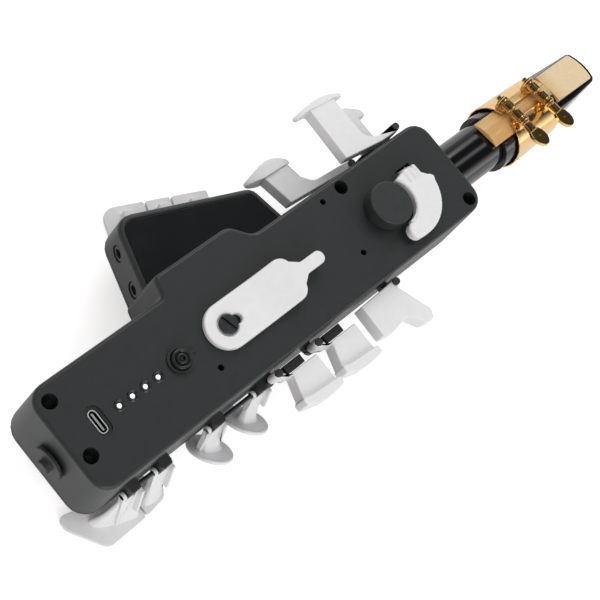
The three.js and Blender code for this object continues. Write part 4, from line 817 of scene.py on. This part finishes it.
def skin(rings):
    work = bmesh.new()
    loops = [[work.verts.new(spot(*point)) for point in ring] for ring in rings]
    for lower, upper in zip(loops, loops[1:]):
        for i, vert in enumerate(lower):
            following = (i + 1) % len(lower)
            work.faces.new((vert, lower[following], upper[following], upper[i]))
    work.faces.new(loops[0])
    work.faces.new(loops[-1])
    bmesh.ops.recalc_face_normals(work, faces=work.faces)
    return work


def blade(key, rings, slope=(0, 0)):
    """Rings are given from the hinge down, as centre, half length, half width and any drift."""
    ovals = []
    for i, ring in enumerate(rings):
        share = (i / (len(rings) - 1)) ** 3
        ovals.append(oval(*ring, slope=(slope[0] * share, slope[1] * share)))
    keep(f"{key}_blade", skin(ovals), key, "keys", (), BLADE_SMOOTH)


print("a ring has", len(oval((0, 0, 0), 1, 1)), "points")

# %% Blades
PAD_SLOPE = (-0.68, -0.586)
for key, lug, pad in (("finger_key_d", 54.7, 54.4), ("finger_key_e", 76.7, 72.5)):
    rings = [((lug + 0.2, -23.5, -21.4), 3.7, 0.9), ((lug, -24.1, -24.5), 3.9, 1.5)]
    for share, y, z, half_length, half_width in (
        (0.25, -25.2, -28, 3.6, 1.7), (0.6, -26.6, -31, 3.6, 2.0), (0.9, -27.8, -33.6, 4.2, 2.7),
        (1, -28.4, -35.2, 5.2, 3.7), (1, -28.6, -36.4, 6.2, 4.8),
    ):
        rings.append(((lug + (pad - lug) * share + 0.4, y, z), half_length, half_width))
    blade(key, rings, PAD_SLOPE)
blade("pinky_key_1", [
    ((15.7, -23.5, -21.4), 3.7, 0.9), ((15.5, -24.0, -24.5), 3.9, 1.2, -0.05),
    ((15, -24.6, -29), 4.6, 1.3, -0.12), ((14.3, -25.4, -33), 5.6, 1.4, -0.22),
    ((13.6, -26.0, -36.5), 6.8, 1.6, -0.32), ((13.2, -26.4, -39), 7.8, 2.0, -0.4),
    ((13, -26.6, -40.6), 8.5, 2.8, -0.42),
])
blade("pinky_key_2", [
    ((29.7, -23.5, -21.4), 3.7, 0.9), ((29.6, -24.0, -24.5), 3.9, 1.3),
    ((29.3, -25.2, -29.5), 3.5, 1.6), ((29, -26.4, -34), 3.6, 2.0),
    ((28.7, -27, -37.5), 4.0, 2.6), ((28.5, -27.2, -40.6), 4.8, 4.0),
])

# %% [markdown]
# ## Pieces that keep their solids
# Screws, pins, rods, the socket, the lights and the inner parts are right as they are, or are too
# small or too hidden for more. They could be copied as well, but they only need a finish.

# %% Finishes for the solids that stay
plain = {
    "socket": ["usb_port"],
    "steel": ["housing_screw_1", "housing_screw_2", "housing_screw_3", "housing_screw_4"],
    "dark_metal": ["octave_pin", "finger_rod", "pinky_rod", "table_rod"],
    "black_matte": ["side_pin_1", "side_pin_2", "side_pin_3", "palm_pin_1", "palm_pin_2", "speaker",
                    "breath_sensor"],
    "light": ["light_guide"],
    "board": ["main_board"],
    "battery": ["battery"],
    "silicone": ["breath_tube"],
}
for surface, nodes in plain.items():
    for node in nodes:
        solid = frame["nodes"][node]
        solid.data.materials.clear()
        solid.data.materials.append(finish[surface])
print("kept solids", sum(len(nodes) for nodes in plain.values()))

# %% [markdown]
# ## Floor and light
# The instrument lies on the keys of its front face, on a white sweep. The floor is a diffuse white
# that keeps the soft shadow. Brighter lamps could make it pure white, but they would wash out the
# object. So it glows by itself, for the camera and a little for mirror-like surfaces.

# %% White floor
GLOW = 0.55
MIRRORED = 0.45
FLOOR_DARK, FLOOR_LIGHT = (0.78, 0.78, 0.78, 1), (0.82, 0.82, 0.82, 1)
PATCH_SIZE = 60


def ray_share(paint, kind):
    return paint.node("ShaderNodeLightPath", {}, {}, f"Is {kind} Ray")


sweep = Paint("white_sweep", Roughness=0.9, Specular_IOR_Level=0.1)
patches = noise(sweep, PATCH_SIZE, 2.0)
sweep.set(Base_Color=mixed(sweep, patches, FLOOR_DARK, FLOOR_LIGHT))
seen = ray_share(sweep, "Camera") + ray_share(sweep, "Glossy") * MIRRORED
glow = sweep.node("ShaderNodeEmission", {}, {"Strength": seen * GLOW})
diffuse = Wire(sweep, sweep.shader.outputs[0])
both = sweep.node("ShaderNodeAddShader", {}, {0: diffuse, 1: glow})
sweep.join(sweep.tree.nodes["Material Output"].inputs["Surface"], both)

# Half the side of the floor, in metres
FLOOR_HALF = 3.0
work = bmesh.new()
bmesh.ops.create_grid(work, x_segments=1, y_segments=1, size=FLOOR_HALF)
floor_mesh = bpy.data.meshes.new("floor")
work.to_mesh(floor_mesh)
work.free()
floor_mesh.materials.append(sweep.material)
floor = bpy.data.objects.new("floor", floor_mesh)
bpy.context.scene.collection.objects.link(floor)

# %% [markdown]
# ## The studio around it
# A photographer lights such an object in a white tent. A plain white surround could stand for it,
# but it would make the gilt look flat and the black plate grey. So the surround that lights the
# object is dimmer and warmer beyond the bottom end, and the one that is mirrored in it is nearly
# black, with a few long strips of light over a bright horizon. The camera itself sees white.


# %% Surround
class Sky(Paint):
    def __init__(self, name):
        print("surround", name)
        world = bpy.data.worlds.new(name)
        world.use_nodes = True
        bpy.context.scene.world = world
        self.tree = world.node_tree
        self.shader = self.tree.nodes["Background"]


WORLD_LIGHT = 0.8
STRIP_LIGHT, STRIP_GAP_LIGHT, STRIP_PHASE = 1.6, 0.04, -2.1
HORIZON_LIGHT, HORIZON_TOP = 0.7, 0.35
DIM_PLACE, FULL_PLACE = -0.9, 0.1
DIM, WHITE = (0.8, 0.71, 0.69, 1), (1, 1, 1, 1)
sky = Sky("studio")
direction = sky.node("ShaderNodeTexCoord", {}, {}, "Generated")
wave = {"Vector": direction, "Phase Offset": STRIP_PHASE}
wave.update({"Scale": 0.5, "Distortion": 0.6, "Detail": 1.0})
bands = sky.node("ShaderNodeTexWave", {"bands_direction": "Y"}, wave, "Fac")
strips = bands * bands * bands * bands * STRIP_LIGHT + STRIP_GAP_LIGHT
horizon = ramp(sky, axis_of(sky, direction, "Z"), HORIZON_TOP, 0)
mirrored = strips + horizon * HORIZON_LIGHT
direct = ray_share(sky, "Camera")
mirror = ray_share(sky, "Glossy")
light_level = mirror * mirrored + (1 - mirror) * WORLD_LIGHT
sky.set(Strength=direct + (1 - direct) * light_level)
side = ramp(sky, axis_of(sky, direction, "X"), DIM_PLACE, FULL_PLACE)
sky.set(Color=mixed(sky, direct, mixed(sky, side, DIM, WHITE), WHITE))

# %% [markdown]
# ## Lamps
# A surround alone gives almost no shade. So two wide discs of light stand about a metre away, one
# beyond the neck and the wing and one on the other side, and tell the faces of the keys apart.
# Small lamps would cut hard shadows, which the photograph doesn't have.

# %% Lamps
# Places and sizes are in metres here, and powers in watts
LAMP_AIM, LAMP_SIZE = Vector((0, 0, 0.02)), 0.6
scene = bpy.context.scene


def soft_box(name, where, power):
    data = bpy.data.lights.new(name, "AREA")
    data.shape = "DISK"
    data.size = LAMP_SIZE
    data.energy = power
    box = bpy.data.objects.new(name, data)
    scene.collection.objects.link(box)
    box.location = where
    box.rotation_euler = (LAMP_AIM - Vector(where)).to_track_quat("-Z", "Y").to_euler()


soft_box("key_light", (0.5, 0.6, 0.7), 2.8)
soft_box("fill_light", (-0.4, -0.8, 0.5), 3.5)
scene.view_settings.view_transform = "Standard"
print("lamps", [lamp.name for lamp in bpy.data.lights])
